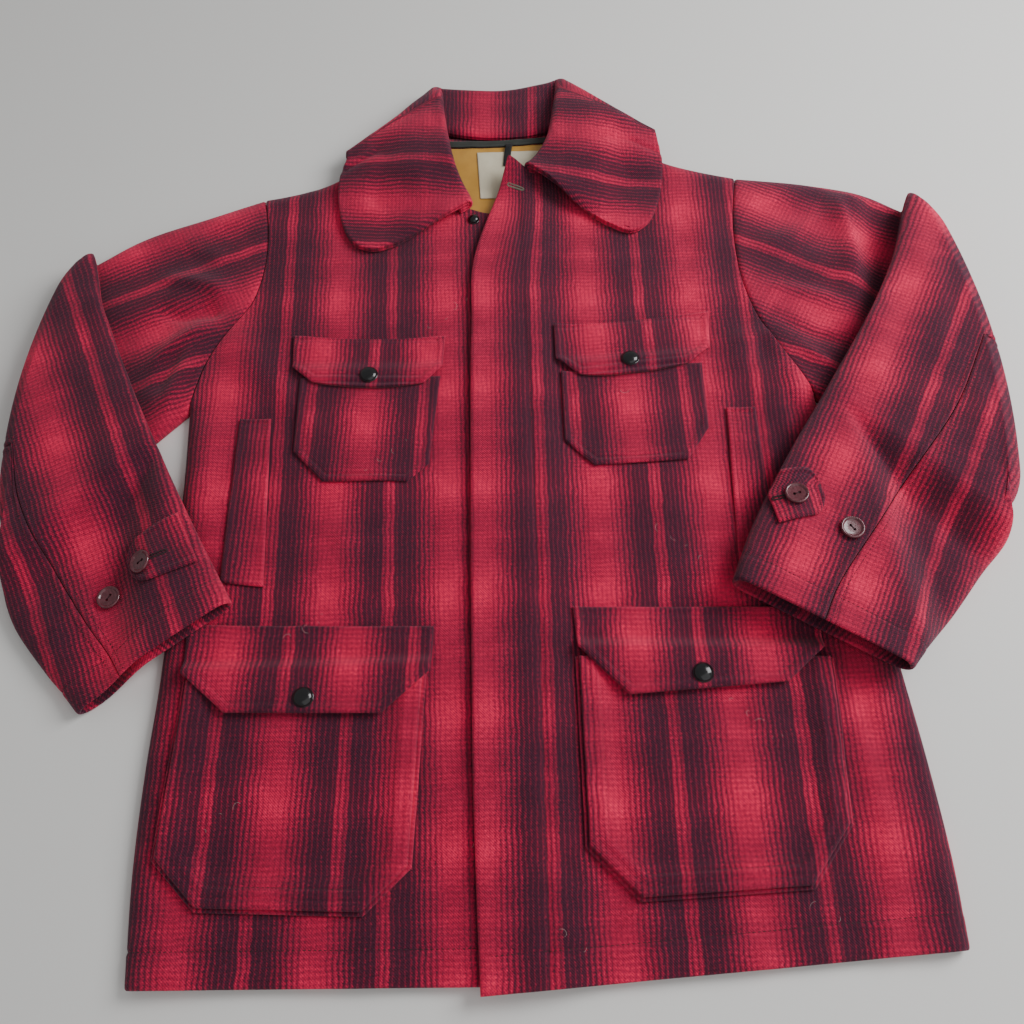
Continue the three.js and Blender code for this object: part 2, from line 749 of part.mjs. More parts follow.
function sleevePoint(side, station, p, inset) {
  const { row, turn, fade } = station;
  const over = p <= 0.5;
  const s = over ? p * 2 : 2 - p * 2;
  const plan = planRing(side, row, s, fade);
  const width = Math.hypot(row.bX - row.aX, row.bY - row.aY);
  const reach = Math.min(s, 1 - s) * width;
  const { above, below } = sectionRises(side, station, reach);
  const full = over ? above : below;
  const run = Math.min(reach / foldRunUp, 1) * (1 - fade);
  const fold = turn === 0 && over ? foldRise(sleeveFolds[side], plan.x, plan.y) * run : 0;
  const toward = (s < 0.5 ? 1 : -1) * inset * Math.max(1 - reach / armRoll, 0);
  const x = plan.x + (toward * (row.bX - row.aX)) / width;
  const y = plan.y + (toward * (row.bY - row.aY)) / width;
  const kept = inset > 0 ? Math.max(full - inset, Math.min(full, edgeKeep)) : full;
  const height = over ? kept + fold : -kept;
  return placeSection(side, station, x, y, height);
}

// A section point set down: flat on the floor, on the turn over the crease, or back over the body
function placeSection(side, station, x, y, height) {
  const { row, turn } = station;
  const outward = side === 'right' ? -1 : 1;
  const liftAt = forearms[side][0].lift + forearms[side][0].above;
  const low = upperArms[side][0].below;
  const radius = (liftAt - low) / 2;
  if (turn === 0) {
    return new THREE.Vector3(x, y, low + height);
  }
  if (turn < Math.PI) {
    const out = (radius - height) * Math.sin(turn);
    const z = low + radius - (radius - height) * Math.cos(turn);
    return new THREE.Vector3(x + outward * out, y, z);
  }
  const held = drape(side, x, y);
  const lift = mix(floorClear, row.lift + foldRise(sleeveFolds[side], x, y) * foreFolds, held);
  return new THREE.Vector3(x, y, lift + row.above - height);
}

function sleeveGrids(side, parameters) {
  const stations = sleeveStations(side);
  const outward = side === 'right' ? -1 : 1;
  const section = (station, inset) => parameters.map((p) => {
    const point = sleevePoint(side, station, p, inset);
    point.x += station.start ? outward * armholeGap : 0;
    return point;
  });
  return {
    outer: stations.map((station) => section(station, 0)),
    inner: stations.map((station) => section(station, wool)),
  };
}

// The sections' points: close together round the folded edges, parted at the two long seams
const seamHalf = 0.00025;
const sectionEdge = [0.005, 0.016, 1 / 24];
const sectionBack = spread(5, 14 / 24, 22 / 24);
const seamClear = 0.012;

function buildSleeve(side) {
  const seamAt = hindSeam[side];
  const mirrored = (at) => sectionEdge.map((e) => at - e).reverse();
  const upperParameters = [
    seamHalf, ...sectionEdge, ...spread(9, 2 / 24, 10 / 24),
    ...mirrored(0.5), 0.5, ...sectionEdge.map((e) => 0.5 + e),
    ...sectionBack.filter((p) => p < seamAt - seamClear), seamAt - seamHalf * 3,
  ];
  const underParameters = [
    seamAt + seamHalf * 3, ...sectionBack.filter((p) => p > seamAt + seamClear), ...mirrored(1), 1 - seamHalf,
  ];
  const top = sleeveGrids(side, upperParameters);
  const under = sleeveGrids(side, underParameters);
  addPiece(`upper_sleeve_${side}`, wallGeometry(top.outer, top.inner), 'plaid');
  addPiece(`under_sleeve_${side}`, wallGeometry(under.outer, under.inner), 'plaid');
  return { top: top.outer, under: under.outer };
}

// The collar's middle surface, between its two plies
const standSteps = [0, 0.5];
const turnAngles = [0, 45, 90, 135, 180];
const fallSteps = [0.12, 0.28, 0.46, 0.64, 0.82, 1];
const collarStations = [
  ...standSteps.map((t) => ({ part: 'stand', t })),
  ...turnAngles.map((angle) => ({ part: 'turn', t: angle / 180 })),
  ...fallSteps.map((t) => ({ part: 'fall', t })),
];
const collarBack = 12;
const fallHold = 6;
const fallHoldMost = 0.7;
const fallEase = 0.6;
const plySlack = 0.1;
const plyClear = wool + seamGap / 2 + plySlack + layGap;

function unit(x, y) {
  const length = Math.hypot(x, y);
  return { x: x / length, y: y / length };
}

// The highest point of a surface within a short reach, so that facets laid over it stay clear
function settled(height, reach) {
  return (x, y) => Math.max(
    height(x, y), height(x + reach, y), height(x - reach, y), height(x, y + reach), height(x, y - reach),
  );
}

const collarReach = 13;
const underCollar = {
  right: settled((x, y) => frontTop('right', x, y), collarReach),
  left: settled((x, y) => frontTop('left', x, y), collarReach),
};

function collarPoint(v, station) {
  const row = rowAt(collarRows, v);
  const side = v < collarBack ? 'right' : 'left';
  const angle = THREE.MathUtils.degToRad(row.turn);
  const overFront = 1 - smoothStep(20, 80, row.turn);
  const clear = (x, y, z) => Math.max(z, mix(z, underCollar[side](x, y) + plyClear, overFront));
  const radius = mix(leafRadius, backRadius, smoothStep(0, 180, row.turn));
  const toSeam = unit(row.seamX - row.rollX, row.seamY - row.rollY);
  const toEdge = unit(row.edgeX - row.rollX, row.edgeY - row.rollY);
  const into = unit(toSeam.x + toEdge.x, toSeam.y + toEdge.y);
  const flip = side === 'right' ? 1 : -1;
  const out = { x: into.y * flip, y: -into.x * flip };
  const seamZ = clear(row.seamX, row.seamY, row.seamZ);
  const edgeZ = clear(row.edgeX, row.edgeY, row.edgeZ);
  const turnAt = (theta) => {
    const apart = -radius * Math.cos(theta);
    const reach = radius * (1 - Math.sin(theta));
    return new THREE.Vector3(
      row.rollX + into.x * reach + out.x * apart * Math.sin(angle),
      row.rollY + into.y * reach + out.y * apart * Math.sin(angle),
      seamZ + row.rise + (radius + apart) * Math.cos(angle),
    );
  };
  if (station.part === 'turn') {
    return turnAt(station.t * Math.PI);
  }
  if (station.part === 'stand') {
    return new THREE.Vector3(row.seamX, row.seamY, seamZ).lerp(turnAt(0), station.t);
  }
  const start = turnAt(Math.PI);
  const length = Math.hypot(row.edgeX - start.x, row.edgeY - start.y);
  const stand = Math.hypot(row.seamX - row.rollX, row.seamY - row.rollY);
  const hold = Math.min((stand + fallHold) / length, fallHoldMost) * overFront;
  const x = mix(start.x, row.edgeX, station.t);
  const y = mix(start.y, row.edgeY, station.t);
  const z = mix(start.z, edgeZ, smoothStep(hold, Math.min(hold + fallEase, 1), station.t));
  return new THREE.Vector3(x, y, clear(x, y, z));
}

function collarNormals(grid) {
  return grid.map((row, i) => row.map((point, j) => {
    const alongTo = grid[Math.min(i + 1, grid.length - 1)][j];
    const alongFrom = grid[Math.max(i - 1, 0)][j];
    const acrossTo = row[Math.min(j + 1, row.length - 1)];
    const acrossFrom = row[Math.max(j - 1, 0)];
    const across = acrossTo.clone().sub(acrossFrom);
    return across.cross(alongTo.clone().sub(alongFrom)).normalize();
  }));
}

function buildCollar() {
  const middle = collarRows.map((_, v) => collarStations.map((station) => collarPoint(v, station)));
  const normals = collarNormals(middle);
  const moved = (offset) => middle.map((row, i) => row.map((p, j) => {
    const point = p.clone().addScaledVector(normals[i][j], offset);
    point.z = Math.max(point.z, 0);
    return point;
  }));
  const near = seamGap / 2 + plySlack;
  const far = near + wool;
  addPiece('collar_upper', wallGeometry(moved(far), moved(near)), 'plaid');
  addPiece('collar_under', wallGeometry(moved(-near), moved(-far)), 'plaid');
}

// Pockets, flaps and welts, laid on the fronts
const patchSteps = [0, 0.06, 0.13, 0.25, 0.4, 0.55, 0.7, 0.83, 0.91, 1];

function edgeDistance(rows, x, y) {
  const outline = pocketOutline(rows);
  return nearest(x, y, outline).distance;
}

// A pocket's sewn outline: down one side, along the bottom and up the other
function pocketOutline(rows) {
  const down = [...rows].reverse().map((row) => ({ x: row.leftX, y: row.leftY }));
  const up = rows.map((row) => ({ x: row.rightX, y: row.rightY }));
  return [...down, ...up];
}

function overPocket(rows, x, y) {
  const top = rows[rows.length - 1];
  const t = (x - top.leftX) / (top.rightX - top.leftX);
  const edge = mix(top.leftY, top.rightY, Math.min(Math.max(t, 0), 1));
  return 1 - smoothStep(edge + flapOverhang[0], edge + flapOverhang[1], y);
}

function buildPatch(name, rows, us, vs, base, thickness = wool, finish = 'plaid') {
  const patch = laidPatch(rows, us, vs, thickness, base);
  addPiece(name, wallGeometry(patch.upper, patch.lower), finish);
  return patch.upper;
}

const chestFlapRows = [0, 0.25, 0.5, 0.62, 0.75, 1];
const hipFlapRows = [0, 0.25, 0.5, 0.65, 0.8, 1];
const hipPocketRows = [0, 0.12, 0.3, 0.5, 0.62, 0.74, 0.86, 1];

function buildChest(side, onFront) {
  buildPatch(`chest_pocket_${side}`, chestPockets[side], spread(7), spread(7), onFront);
  const flapBase = (x, y) => onFront(x, y) + (wool + layGap) * overPocket(chestPockets[side], x, y);
  return buildPatch(`chest_flap_${side}`, chestFlaps[side], spread(9), chestFlapRows, flapBase);
}

function buildHip(side, onFront) {
  const rows = hipPockets[side];
  const outline = pocketOutline(rows);
  const stand = wool + layGap;
  const pocketBase = (x, y) => {
    const rim = 1 - smoothStep(gussetWidth, gussetWidth * gussetFade, edgeDistance(rows, x, y));
    return onFront(x, y) + stand * rim + seamGap;
  };
  buildPatch(`hip_pocket_${side}`, rows, patchSteps, hipPocketRows, pocketBase);
  buildGusset(`hip_gusset_${side}`, outline, onFront);
  const flapBase = (x, y) => onFront(x, y) + (stand * 2 + layGap) * overPocket(rows, x, y);
  return buildPatch(`hip_flap_${side}`, hipFlaps[side], spread(10), hipFlapRows, flapBase);
}

function buildGusset(name, outline, onFront) {
  const last = outline.length - 1;
  const normalAt = (i) => {
    const a = outline[Math.max(i - 1, 0)];
    const b = outline[Math.min(i + 1, last)];
    const here = outline[i];
    const before = i > 0 ? unit(here.x - a.x, here.y - a.y) : unit(b.x - here.x, b.y - here.y);
    const after = i < last ? unit(b.x - here.x, b.y - here.y) : before;
    const sum = unit(before.x + after.x, before.y + after.y);
    const miter = 1 / (before.x * sum.x + before.y * sum.y);
    return { x: -sum.y * miter, y: sum.x * miter };
  };
  const stations = [];
  for (let i = 0; i < last; i += 1) {
    const from = normalAt(i);
    const to = normalAt(i + 1);
    for (const t of i === last - 1 ? spread(4) : spread(4).slice(0, 3)) {
      stations.push({
        x: mix(outline[i].x, outline[i + 1].x, t),
        y: mix(outline[i].y, outline[i + 1].y, t),
        nx: mix(from.x, to.x, t),
        ny: mix(from.y, to.y, t),
      });
    }
  }
  const lower = stations.map((st) => [-gussetShow, gussetWidth - gussetShow].map((inset) => {
    const x = st.x + st.nx * inset;
    const y = st.y + st.ny * inset;
    return new THREE.Vector3(x, y, onFront(x, y));
  }));
  addPiece(name, wallGeometry(raised(lower, wool), lower), 'plaid');
}

const seatReach = 0.9;
const seatProbes = 12;

// A turned hard piece seated on cloth: on the slope there, just clear of every facet under it
function seat(mesh, height, x, y, radius) {
  const reach = radius * seatReach;
  const slopeX = (height(x + reach, y) - height(x - reach, y)) / (2 * reach);
  const slopeY = (height(x, y + reach) - height(x, y - reach)) / (2 * reach);
  const z = height(x, y);
  let rise = 0;
  for (let i = 0; i < seatProbes; i += 1) {
    const angle = (i * 2 * Math.PI) / seatProbes;
    const dx = radius * Math.cos(angle);
    const dy = radius * Math.sin(angle);
    rise = Math.max(rise, height(x + dx, y + dy) - z - slopeX * dx - slopeY * dy);
  }
  const normal = new THREE.Vector3(-slopeX, -slopeY, 1).normalize();
  mesh.quaternion.setFromUnitVectors(new THREE.Vector3(0, 0, 1), normal);
  mesh.position.set(x, y, z + rise).addScaledVector(normal, seamGap);
}

function lathe(profile, segments) {
  const geometry = new THREE.LatheGeometry(profile.map(([r, z]) => new THREE.Vector2(r, z)), segments);
  return geometry.rotateX(Math.PI / 2);
}

function snapGeometry(radius) {
  const rim = snapRim;
  const profile = [[0, 0], [radius, 0], [radius, rim]];
  for (const angle of [30, 60]) {
    const t = THREE.MathUtils.degToRad(angle);
    profile.push([radius * Math.cos(t), rim + (snapHeight - rim) * Math.sin(t)]);
  }
  profile.push([0, snapHeight]);
  return lathe(profile, roundSides);
}

// A round button with a raised rim and a dished middle
function buttonGeometry() {
  const rim = buttonRadius - buttonRim;
  const dish = buttonHeight - buttonDish;
  const profile = [
    [0, 0], [rim, 0], [buttonRadius, buttonHeight * 0.35], [buttonRadius, buttonHeight * 0.7],
    [buttonRadius - 1, buttonHeight], [rim, buttonHeight - 0.6], [rim - 1.4, dish], [0, dish],
  ];
  return lathe(profile, roundSides);
}

// A pointed tab whose root follows the sleeve's folded edge
const tabTaper = 0.12;
const tabPoint = { from: 0.7, length: 0.31 };
const tabRows = [0, 0.18, 0.36, 0.54, 0.7, 0.84, 0.94, 1];

function tabHalf(tab, t) {
  const straight = tab.half * (1 - tabTaper * t);
  const past = Math.max(t - tabPoint.from, 0) / tabPoint.length;
  return straight * Math.sqrt(1 - past * past);
}

function buildTab(side, height) {
  const tab = cuffTabs[side];
  const along = unit(tab.toX - tab.x, tab.toY - tab.y);
  const place = (reach, half) => ({
    x: tab.x + along.x * reach - along.y * half,
    y: tab.y + along.y * reach + along.x * half,
  });
  const onCloth = ({ x, y }) => Number.isFinite(height(x, y));
  const rootReach = (across) => {
    let reach = 0;
    const half = tab.half * across;
    const held = () => onCloth(place(reach - tabMargin, half)) && onCloth(place(reach, half));
    while (reach < tab.length / 2 && !held()) {
      reach += 1;
    }
    return reach;
  };
  const acrossSteps = spread(7, -1, 1);
  const roots = new Map(acrossSteps.map((across) => [across, rootReach(across)]));
  const lower = tabRows.map((t) => acrossSteps.map((across) => {
    const { x, y } = place(mix(roots.get(across), tab.length, t), tabHalf(tab, t) * across);
    return new THREE.Vector3(x, y, height(x, y) + layGap);
  }));
  const upper = raised(lower, wool);
  addPiece(`cuff_tab_${side}`, wallGeometry(upper, lower), 'plaid');
  return upper;
}

function buildCuffTrim(side, sleeve) {
  const onSleeve = (x, y) => Math.max(facetHeight(sleeve.under, x, y), facetHeight(sleeve.top, x, y));
  const tab = buildTab(side, settled(onSleeve, tabMargin));
  const onTab = (x, y) => Math.max(onSleeve(x, y), facetHeight(tab, x, y));
  cuffButtons[side].forEach((place, i) => {
    const mesh = addPiece(`cuff_button_${side}_${i + 1}`, buttonGeometry(), 'button');
    seat(mesh, place.onTab ? onTab : onSleeve, place.x, place.y, buttonRadius);
  });
}

const trimReach = 3;

function buildNeck(back) {
  const on = (grids, gap) => settled((x, y) => {
    const heights = grids.map((grid) => facetHeight(grid, x, y));
    return Math.max(...heights) + gap;
  }, trimReach);
  const base = on([back], layGap);
  const lining = buildPatch('back_neck_lining', liningRows, spread(8), spread(9), base, satin, 'lining');
  const onLining = on([back, lining], seamGap);
  const label = buildPatch('label_blank', labelRows, spread(5), spread(6), onLining, satin, 'label');
  const binding = buildPatch('neck_binding', bindingRows, spread(8), spread(2), onLining, tape, 'binding');
  const onTrim = on([label, binding, lining], seamGap);
  buildPatch('hanger_loop', loopRows, spread(2), spread(8), onTrim, tape, 'loop');
}

function buildSnap(name, height) {
  const { x, y, radius } = snapPlaces[name];
  seat(addPiece(name, snapGeometry(radius), 'snap'), height, x, y, radius);
}

const back = buildBack();
const fronts = { right: buildFront('right'), left: buildFront('left') };
buildFly();
const sleeves = { right: buildSleeve('right'), left: buildSleeve('left') };
buildCollar();
buildNeck(back);
for (const side of ['right', 'left']) {
  const onFront = (x, y) => facetHeight(fronts[side], x, y) + layGap;
  const chestFlap = buildChest(side, onFront);
  const hipFlap = buildHip(side, onFront);
  buildPatch(`hand_welt_${side}`, handWelts[side], spread(3), spread(9), onFront);
  buildSnap(`chest_snap_${side}`, (x, y) => facetHeight(chestFlap, x, y));
  buildSnap(`hip_snap_${side}`, (x, y) => facetHeight(hipFlap, x, y));
  buildCuffTrim(side, sleeves[side]);
}
buildSnap('neck_snap', (x, y) => facetHeight(fronts.right, x, y));

const bounds = new THREE.Box3().setFromObject(group);
const centre = bounds.getCenter(new THREE.Vector3());
group.position.set(-centre.x, -centre.y, -bounds.min.z);

export default group;
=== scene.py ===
import math
import bpy
import numpy as np
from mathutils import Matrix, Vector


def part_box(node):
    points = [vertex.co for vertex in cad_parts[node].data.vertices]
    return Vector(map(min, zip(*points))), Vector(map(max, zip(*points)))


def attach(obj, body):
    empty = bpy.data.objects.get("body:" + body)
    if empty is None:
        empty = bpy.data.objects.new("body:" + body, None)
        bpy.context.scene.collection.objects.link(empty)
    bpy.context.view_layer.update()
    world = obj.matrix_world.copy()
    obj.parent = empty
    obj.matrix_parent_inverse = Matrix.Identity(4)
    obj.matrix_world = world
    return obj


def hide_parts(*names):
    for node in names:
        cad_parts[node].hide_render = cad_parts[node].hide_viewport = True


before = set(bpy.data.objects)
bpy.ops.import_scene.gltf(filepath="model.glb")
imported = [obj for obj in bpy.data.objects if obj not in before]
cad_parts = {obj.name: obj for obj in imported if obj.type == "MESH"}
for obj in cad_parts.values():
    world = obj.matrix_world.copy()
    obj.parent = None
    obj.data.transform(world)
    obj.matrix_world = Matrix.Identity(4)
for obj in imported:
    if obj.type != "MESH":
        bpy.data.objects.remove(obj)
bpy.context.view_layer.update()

# A plaid wool mackinaw jacket, laid flat on its back. The tables are in millimetres, in the
# CAD's own working frame. "right" and "left" are the wearer's.
labelCentre = (-2, 376)
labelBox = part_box("label_blank")
shift = np.array([
    (labelBox[0][0] + labelBox[1][0]) * 500 - labelCentre[0],
    (labelBox[0][1] + labelBox[1][1]) * 500 - labelCentre[1],
    0,
])

# Cloth thicknesses and the CAD's heights
wool, satin, tape = 2.8, 1.0, 1.2
seamGap, layGap, armholeGap = 0.3, 0.5, 0.5
flatRise, puffRise, puffReach, rollWidth = 6.2, 9.2, 38, 13
lapRise, lapSlope = 2 * (wool + layGap), 46
fallStack = 2 * (wool + seamGap) + layGap
fallFrom, fallFull, rampSlack = 350, 396, 0.9
neckTilt, neckCentre, fallHalfWidth, fallFade = 0.1, -14, 122, 60
lapTip = {"x": -4, "y": 378, "lift": 13, "reach": 30}


def table(columns, rows):
    return {name: np.array([row[i] for row in rows], float) for i, name in enumerate(columns.split())}


bothSides = ("right", "left")
outward = {"right": -1, "left": 1}  # the way each sleeve leaves the body, along x


armholes = {
    "right": table("x y", [
        [-292, 95], [-282, 148], [-264, 187], [-247, 218], [-240, 256], [-240, 300], [-247.7, 344]]),
    "left": table("x y", [
        [276, 112], [262, 142], [241, 181], [226, 222], [219.5, 268], [220, 322], [226.3, 373]]),
}
sides = {
    "right": table("x y", [
        [-274, -376], [-281, -300], [-283, -225], [-282, -150], [-284, -70], [-287, 20], [-292, 95]]),
    "left": table("x y", [
        [329, -349.5], [328, -288], [322, -215], [314, -146], [304, -65], [291, 25], [276, 112]]),
}
neckPoints = {"right": (-80, 428), "left": (58, 440)}
shoulderSag = {"right": 13, "left": 8}
frontEdges = {
    "right": table("x y", [
        [21, -373], [20, -290], [19, -215], [18, -140], [15, -60], [12, 20], [9, 100],
        [7, 160], [5, 230], [2, 324], [-34, 329], [-60, 348], [-80, 428]]),
    "left": table("x y", [
        [-22, -379.5], [-26.5, -300], [-30, -225], [-32, -150], [-34, -70], [-36, 20], [-37.5, 110],
        [-38, 190], [-36, 270], [-4, 378], [18, 372], [38, 400], [58, 440]]),
}
edgeCorner = 9
flyLine = table("x y", [
    [27, -380], [26, -282], [24, -170], [21.5, -52], [16, 104], [9, 261], [4, 400]])
foldColumns = "x0 y0 x1 y1 width height"
bodyFolds = {
    "right": table(foldColumns, [
        [-256, 168, -205, 112, 26, 3.5], [-268, 60, -262, -40, 20, 2], [-120, 10, -150, -60, 40, 1.6]]),
    "left": table(foldColumns, [
        [243, 176, 258, 118, 15, 5], [214, 170, 222, 108, 20, 3], [120, 20, 150, -50, 40, 1.6]]),
}
sleeveFolds = {
    "right": table(foldColumns, [
        [-288, 184, -318, 112, 24, 7], [-286, 234, -372, 204, 30, 4.5], [-300, 206, -362, 178, 18, -3]]),
    "left": table(foldColumns, [
        [338, 336, 322, 190, 24, 8], [236, 300, 318, 262, 30, 3.5], [252, 176, 300, 158, 22, 4]]),
}


def mix(a, b, t):
    return a + (b - a) * t


def smoothStep(low, high, value):
    t = np.clip((value - low) / (high - low), 0, 1)
    return t * t * (3 - 2 * t)


# Smooth interpolation down a table. A row in corners keeps its corner sharp.
def rowAt(rows, position, corners=()):
    last = len(next(iter(rows.values()))) - 1
    at = np.clip(np.asarray(position, float), 0, last)
    i = np.minimum(at.astype(int), last - 1)
    t = at - i
    before = (i > 0) & ~np.isin(i, corners)
    after = (i + 1 < last) & ~np.isin(i + 1, corners)
    found = {}
    for name, values in rows.items():
        a, b = values[i], values[i + 1]
        slopeA = np.where(before, (b - values[np.maximum(i - 1, 0)]) / 2, b - a)
        slopeB = np.where(after, (values[np.minimum(i + 2, last)] - a) / 2, b - a)
        t2, t3 = t * t, t * t * t
        found[name] = (a * (2 * t3 - 3 * t2 + 1) + b * (3 * t2 - 2 * t3)
                       + slopeA * (t3 - 2 * t2 + t) + slopeB * (t3 - t2))
    return found


# Distance to a polyline of (x, y) points, and how far along it the nearest point lies
def nearest(x, y, points):
    best = np.full(np.shape(x), np.inf)
    along = np.zeros(np.shape(x))
    for i, (a, b) in enumerate(zip(points, points[1:])):
        dx, dy = b[0] - a[0], b[1] - a[1]
        size = max(dx * dx + dy * dy, 1e-9)
        t = np.clip(((x - a[0]) * dx + (y - a[1]) * dy) / size, 0, 1)
        off = np.hypot(x - a[0] - t * dx, y - a[1] - t * dy)
        along = np.where(off < best, i + t, along)
        best = np.minimum(best, off)
    return best, along


def curvePoints(rows, steps):
    found = rowAt(rows, np.linspace(0, len(rows["x"]) - 1, steps + 1))
    return list(zip(found["x"], found["y"]))


def shoulderPoint(side, t):
    top = armholes[side]
    neck = neckPoints[side]
    sag = shoulderSag[side] * 4 * t * (1 - t)
    return mix(top["x"][-1], neck[0], t), mix(top["y"][-1], neck[1], t) - sag


rolledEdges = {
    side: [curvePoints(sides[side], 24), list(zip(*shoulderPoint(side, np.linspace(0, 1, 11))))]
    for side in sides
}


def rollRise(distance, flat, puff, width):
    t = np.minimum(distance / width, 1)
    swell = np.exp(-np.maximum(distance - width, 0) ** 2 / puffReach ** 2)
    return np.sqrt(np.maximum(1 - (1 - t) ** 2, 0)) * (flat + (puff - flat) * swell)


def foldRise(folds, x, y):
    rise = 0
    for i in range(len(folds["x0"])):
        ends = [(folds["x0"][i], folds["y0"][i]), (folds["x1"][i], folds["y1"][i])]
        off, along = nearest(x, y, ends)
        across = off / folds["width"][i]
        rise = rise + folds["height"][i] * np.exp(-across * across * 1.6) * (1 - 0.35 * along)
    return rise


# A crease: a trough or ridge with a soft and a steep side, fading out at both ends
def creases(rows, x, y):
    rise = 0
    for i in range(len(rows["x0"])):
        ax, ay, bx, by = (rows[k][i] for k in ("x0", "y0", "x1", "y1"))
        dx, dy = bx - ax, by - ay
        length = math.hypot(dx, dy)
        along = ((x - ax) * dx + (y - ay) * dy) / length ** 2
        bow = rows["bow"][i] * 4 * along * (1 - along)
        off = ((x - ax) * dy - (y - ay) * dx) / length - bow
        width = np.where(off > 0, rows["width"][i], rows["width"][i] * rows["steep"][i])
        fade = smoothStep(-0.12, 0.3, along) * (1 - smoothStep(0.65, 1.12, along))
        rise = rise + rows["height"][i] * np.exp(-(off / width) ** 2) * fade
    return rise


creaseColumns = "x0 y0 x1 y1 width steep bow height"


def neckRise(x, y):
    along = y - neckTilt * (x - neckCentre)
    across = 1 - smoothStep(fallHalfWidth, fallHalfWidth + fallFade, np.abs(x - neckCentre))
    return fallStack * smoothStep(fallFrom, fallFull, along) * across


def backClear(x, y):
    rise = neckRise(x, y)
    return wool + seamGap + rise + rampSlack * np.minimum(rise, 1)


flyCurve = np.array(curvePoints(flyLine, 24))


def flyX(y):
    return np.interp(y, flyCurve[:, 1], flyCurve[:, 0])


def tipRise(x, y):
    off = np.hypot(x - lapTip["x"], y - lapTip["y"]) / lapTip["reach"]
    return lapTip["lift"] * np.exp(-off * off * 2)


# Creases of the fronts, as the photograph shows them; change heights and widths here
frontCreases = {
    "right": table(creaseColumns, [
        [-232, 150, -150, 60, 13, 0.6, 8, 1.3], [-250, 20, -236, -90, 11, 0.7, -4, 1.5],
        [-205, 300, -190, 215, 14, 0.6, 5, 0.9], [-120, 310, -104, 205, 16, 0.6, -6, -0.8],
        [-40, 60, -52, -90, 18, 0.6, 6, 0.9], [-150, 0, -120, -95, 17, 0.7, 4, 1.1],
        [-255, -120, -262, -300, 12, 0.6, 4, 1.2], [-40, -180, -58, -340, 16, 0.7, 5, -0.9],
        [-214, -332, -206, -374, 12, 0.7, 0, 1.3], [-120, -334, -112, -374, 14, 0.7, 0, -1.1],
        [-30, -300, -26, -372, 12, 0.6, 2, 1.0], [-170, 20, -225, -60, 12, 0.6, -5, 0.9]]),
    "left": table(creaseColumns, [
        [228, 190, 176, 96, 12, 0.6, -7, 1.6], [240, 150, 252, 60, 9, 0.6, 3, 1.7],
        [190, 320, 178, 222, 14, 0.6, -4, 1.0], [90, 330, 78, 215, 16, 0.7, 5, -0.9],
        [70, 60, 88, -80, 18, 0.6, -6, 1.0], [150, 10, 130, -84, 16, 0.7, 4, 1.0],
        [262, -160, 282, -320, 13, 0.6, -5, 1.7], [292, -120, 306, -300, 10, 0.6, 4, 1.2],
        [40, -190, 44, -340, 15, 0.7, 3, -0.9], [110, -322, 104, -376, 13, 0.7, 0, 1.2],
        [190, -316, 196, -366, 14, 0.7, 0, -1.2], [270, -330, 276, -362, 11, 0.7, 0, 1.4],
        [-8, 120, -14, -60, 12, 0.8, 3, 0.8]]),
}
waveTerms = [(0.041, 0.017, 0.3, 0.42), (-0.019, 0.047, 1.7, 0.38), (0.071, -0.031, 4.1, 0.26),
             (0.029, 0.083, 2.6, 0.22), (0.113, 0.052, 0.9, 0.14), (-0.064, 0.129, 5.2, 0.12)]


def waves(x, y):
    return sum(size * np.sin(kx * x + ky * y + phase) for kx, ky, phase, size in waveTerms)


# The upper surface of a front, which every pocket, flap and the collar lie on
def frontHeight(side, x, y):
    off = [nearest(x, y, line)[0] for line in rolledEdges[side]]
    edge = np.minimum(*off)
    calm = np.minimum(edge / rollWidth, 1)
    top = (backClear(x, y) + rollRise(edge, flatRise, puffRise, rollWidth)
           + calm * (foldRise(bodyFolds[side], x, y) + creases(frontCreases[side], x, y) + waves(x, y)))
    if side == "right":
        return top
    past = x - flyX(y)
    return top + lapRise * (1 - smoothStep(0, lapSlope, past)) + tipRise(x, y)


# The parameters 0 to 1 of a row of points: close together near its ends and near marked places
def steps(length, pitch, ends=(0.7, 1.7, 3.2), marks=()):
    points = list(np.linspace(0, length, max(int(length / pitch), 2) + 1))
    for mark in marks:
        points = [p for p in points if abs(p - mark) > pitch * 0.8] + [mark - 1.1, mark, mark + 1.1]
    kept = [p for p in points if ends[-1] < p < length - ends[-1]]
    return np.array([0, *ends, *sorted(kept), *[length - e for e in reversed(ends)], length]) / length


def grid(x, y, z):
    return np.stack(np.broadcast_arrays(x, y, z), -1)


# Vectors brought to length one, and the directions in which a grid of points faces
def unitAlong(vectors):
    return vectors / np.maximum(np.linalg.norm(vectors, axis=-1, keepdims=True), 1e-9)


def facing(points):
    return unitAlong(np.cross(np.gradient(points, axis=1), np.gradient(points, axis=0)))


# Distances of each point of a grid from its four sides, measured along the cloth
def sideDistances(points):
    across = np.linalg.norm(np.diff(points, axis=1), axis=2)
    along = np.linalg.norm(np.diff(points, axis=0), axis=2)
    fromStart = np.concatenate([np.zeros((len(points), 1)), np.cumsum(across, 1)], 1)
    fromFoot = np.concatenate([np.zeros((1, points.shape[1])), np.cumsum(along, 0)], 0)
    return {"start": fromStart, "end": fromStart[:, -1:] - fromStart,
            "foot": fromFoot, "head": fromFoot[-1:] - fromFoot}


threads = {"button_thread": [], "stitches": [], "buttonholes": [], "cuff_holes": [], "lint": []}
stitchLook = {"length": 2.9, "gap": 0.9, "radius": 0.26, "sink": 0.12, "ends": -0.3, "crown": 0.2,
              "patchSink": 0.55}


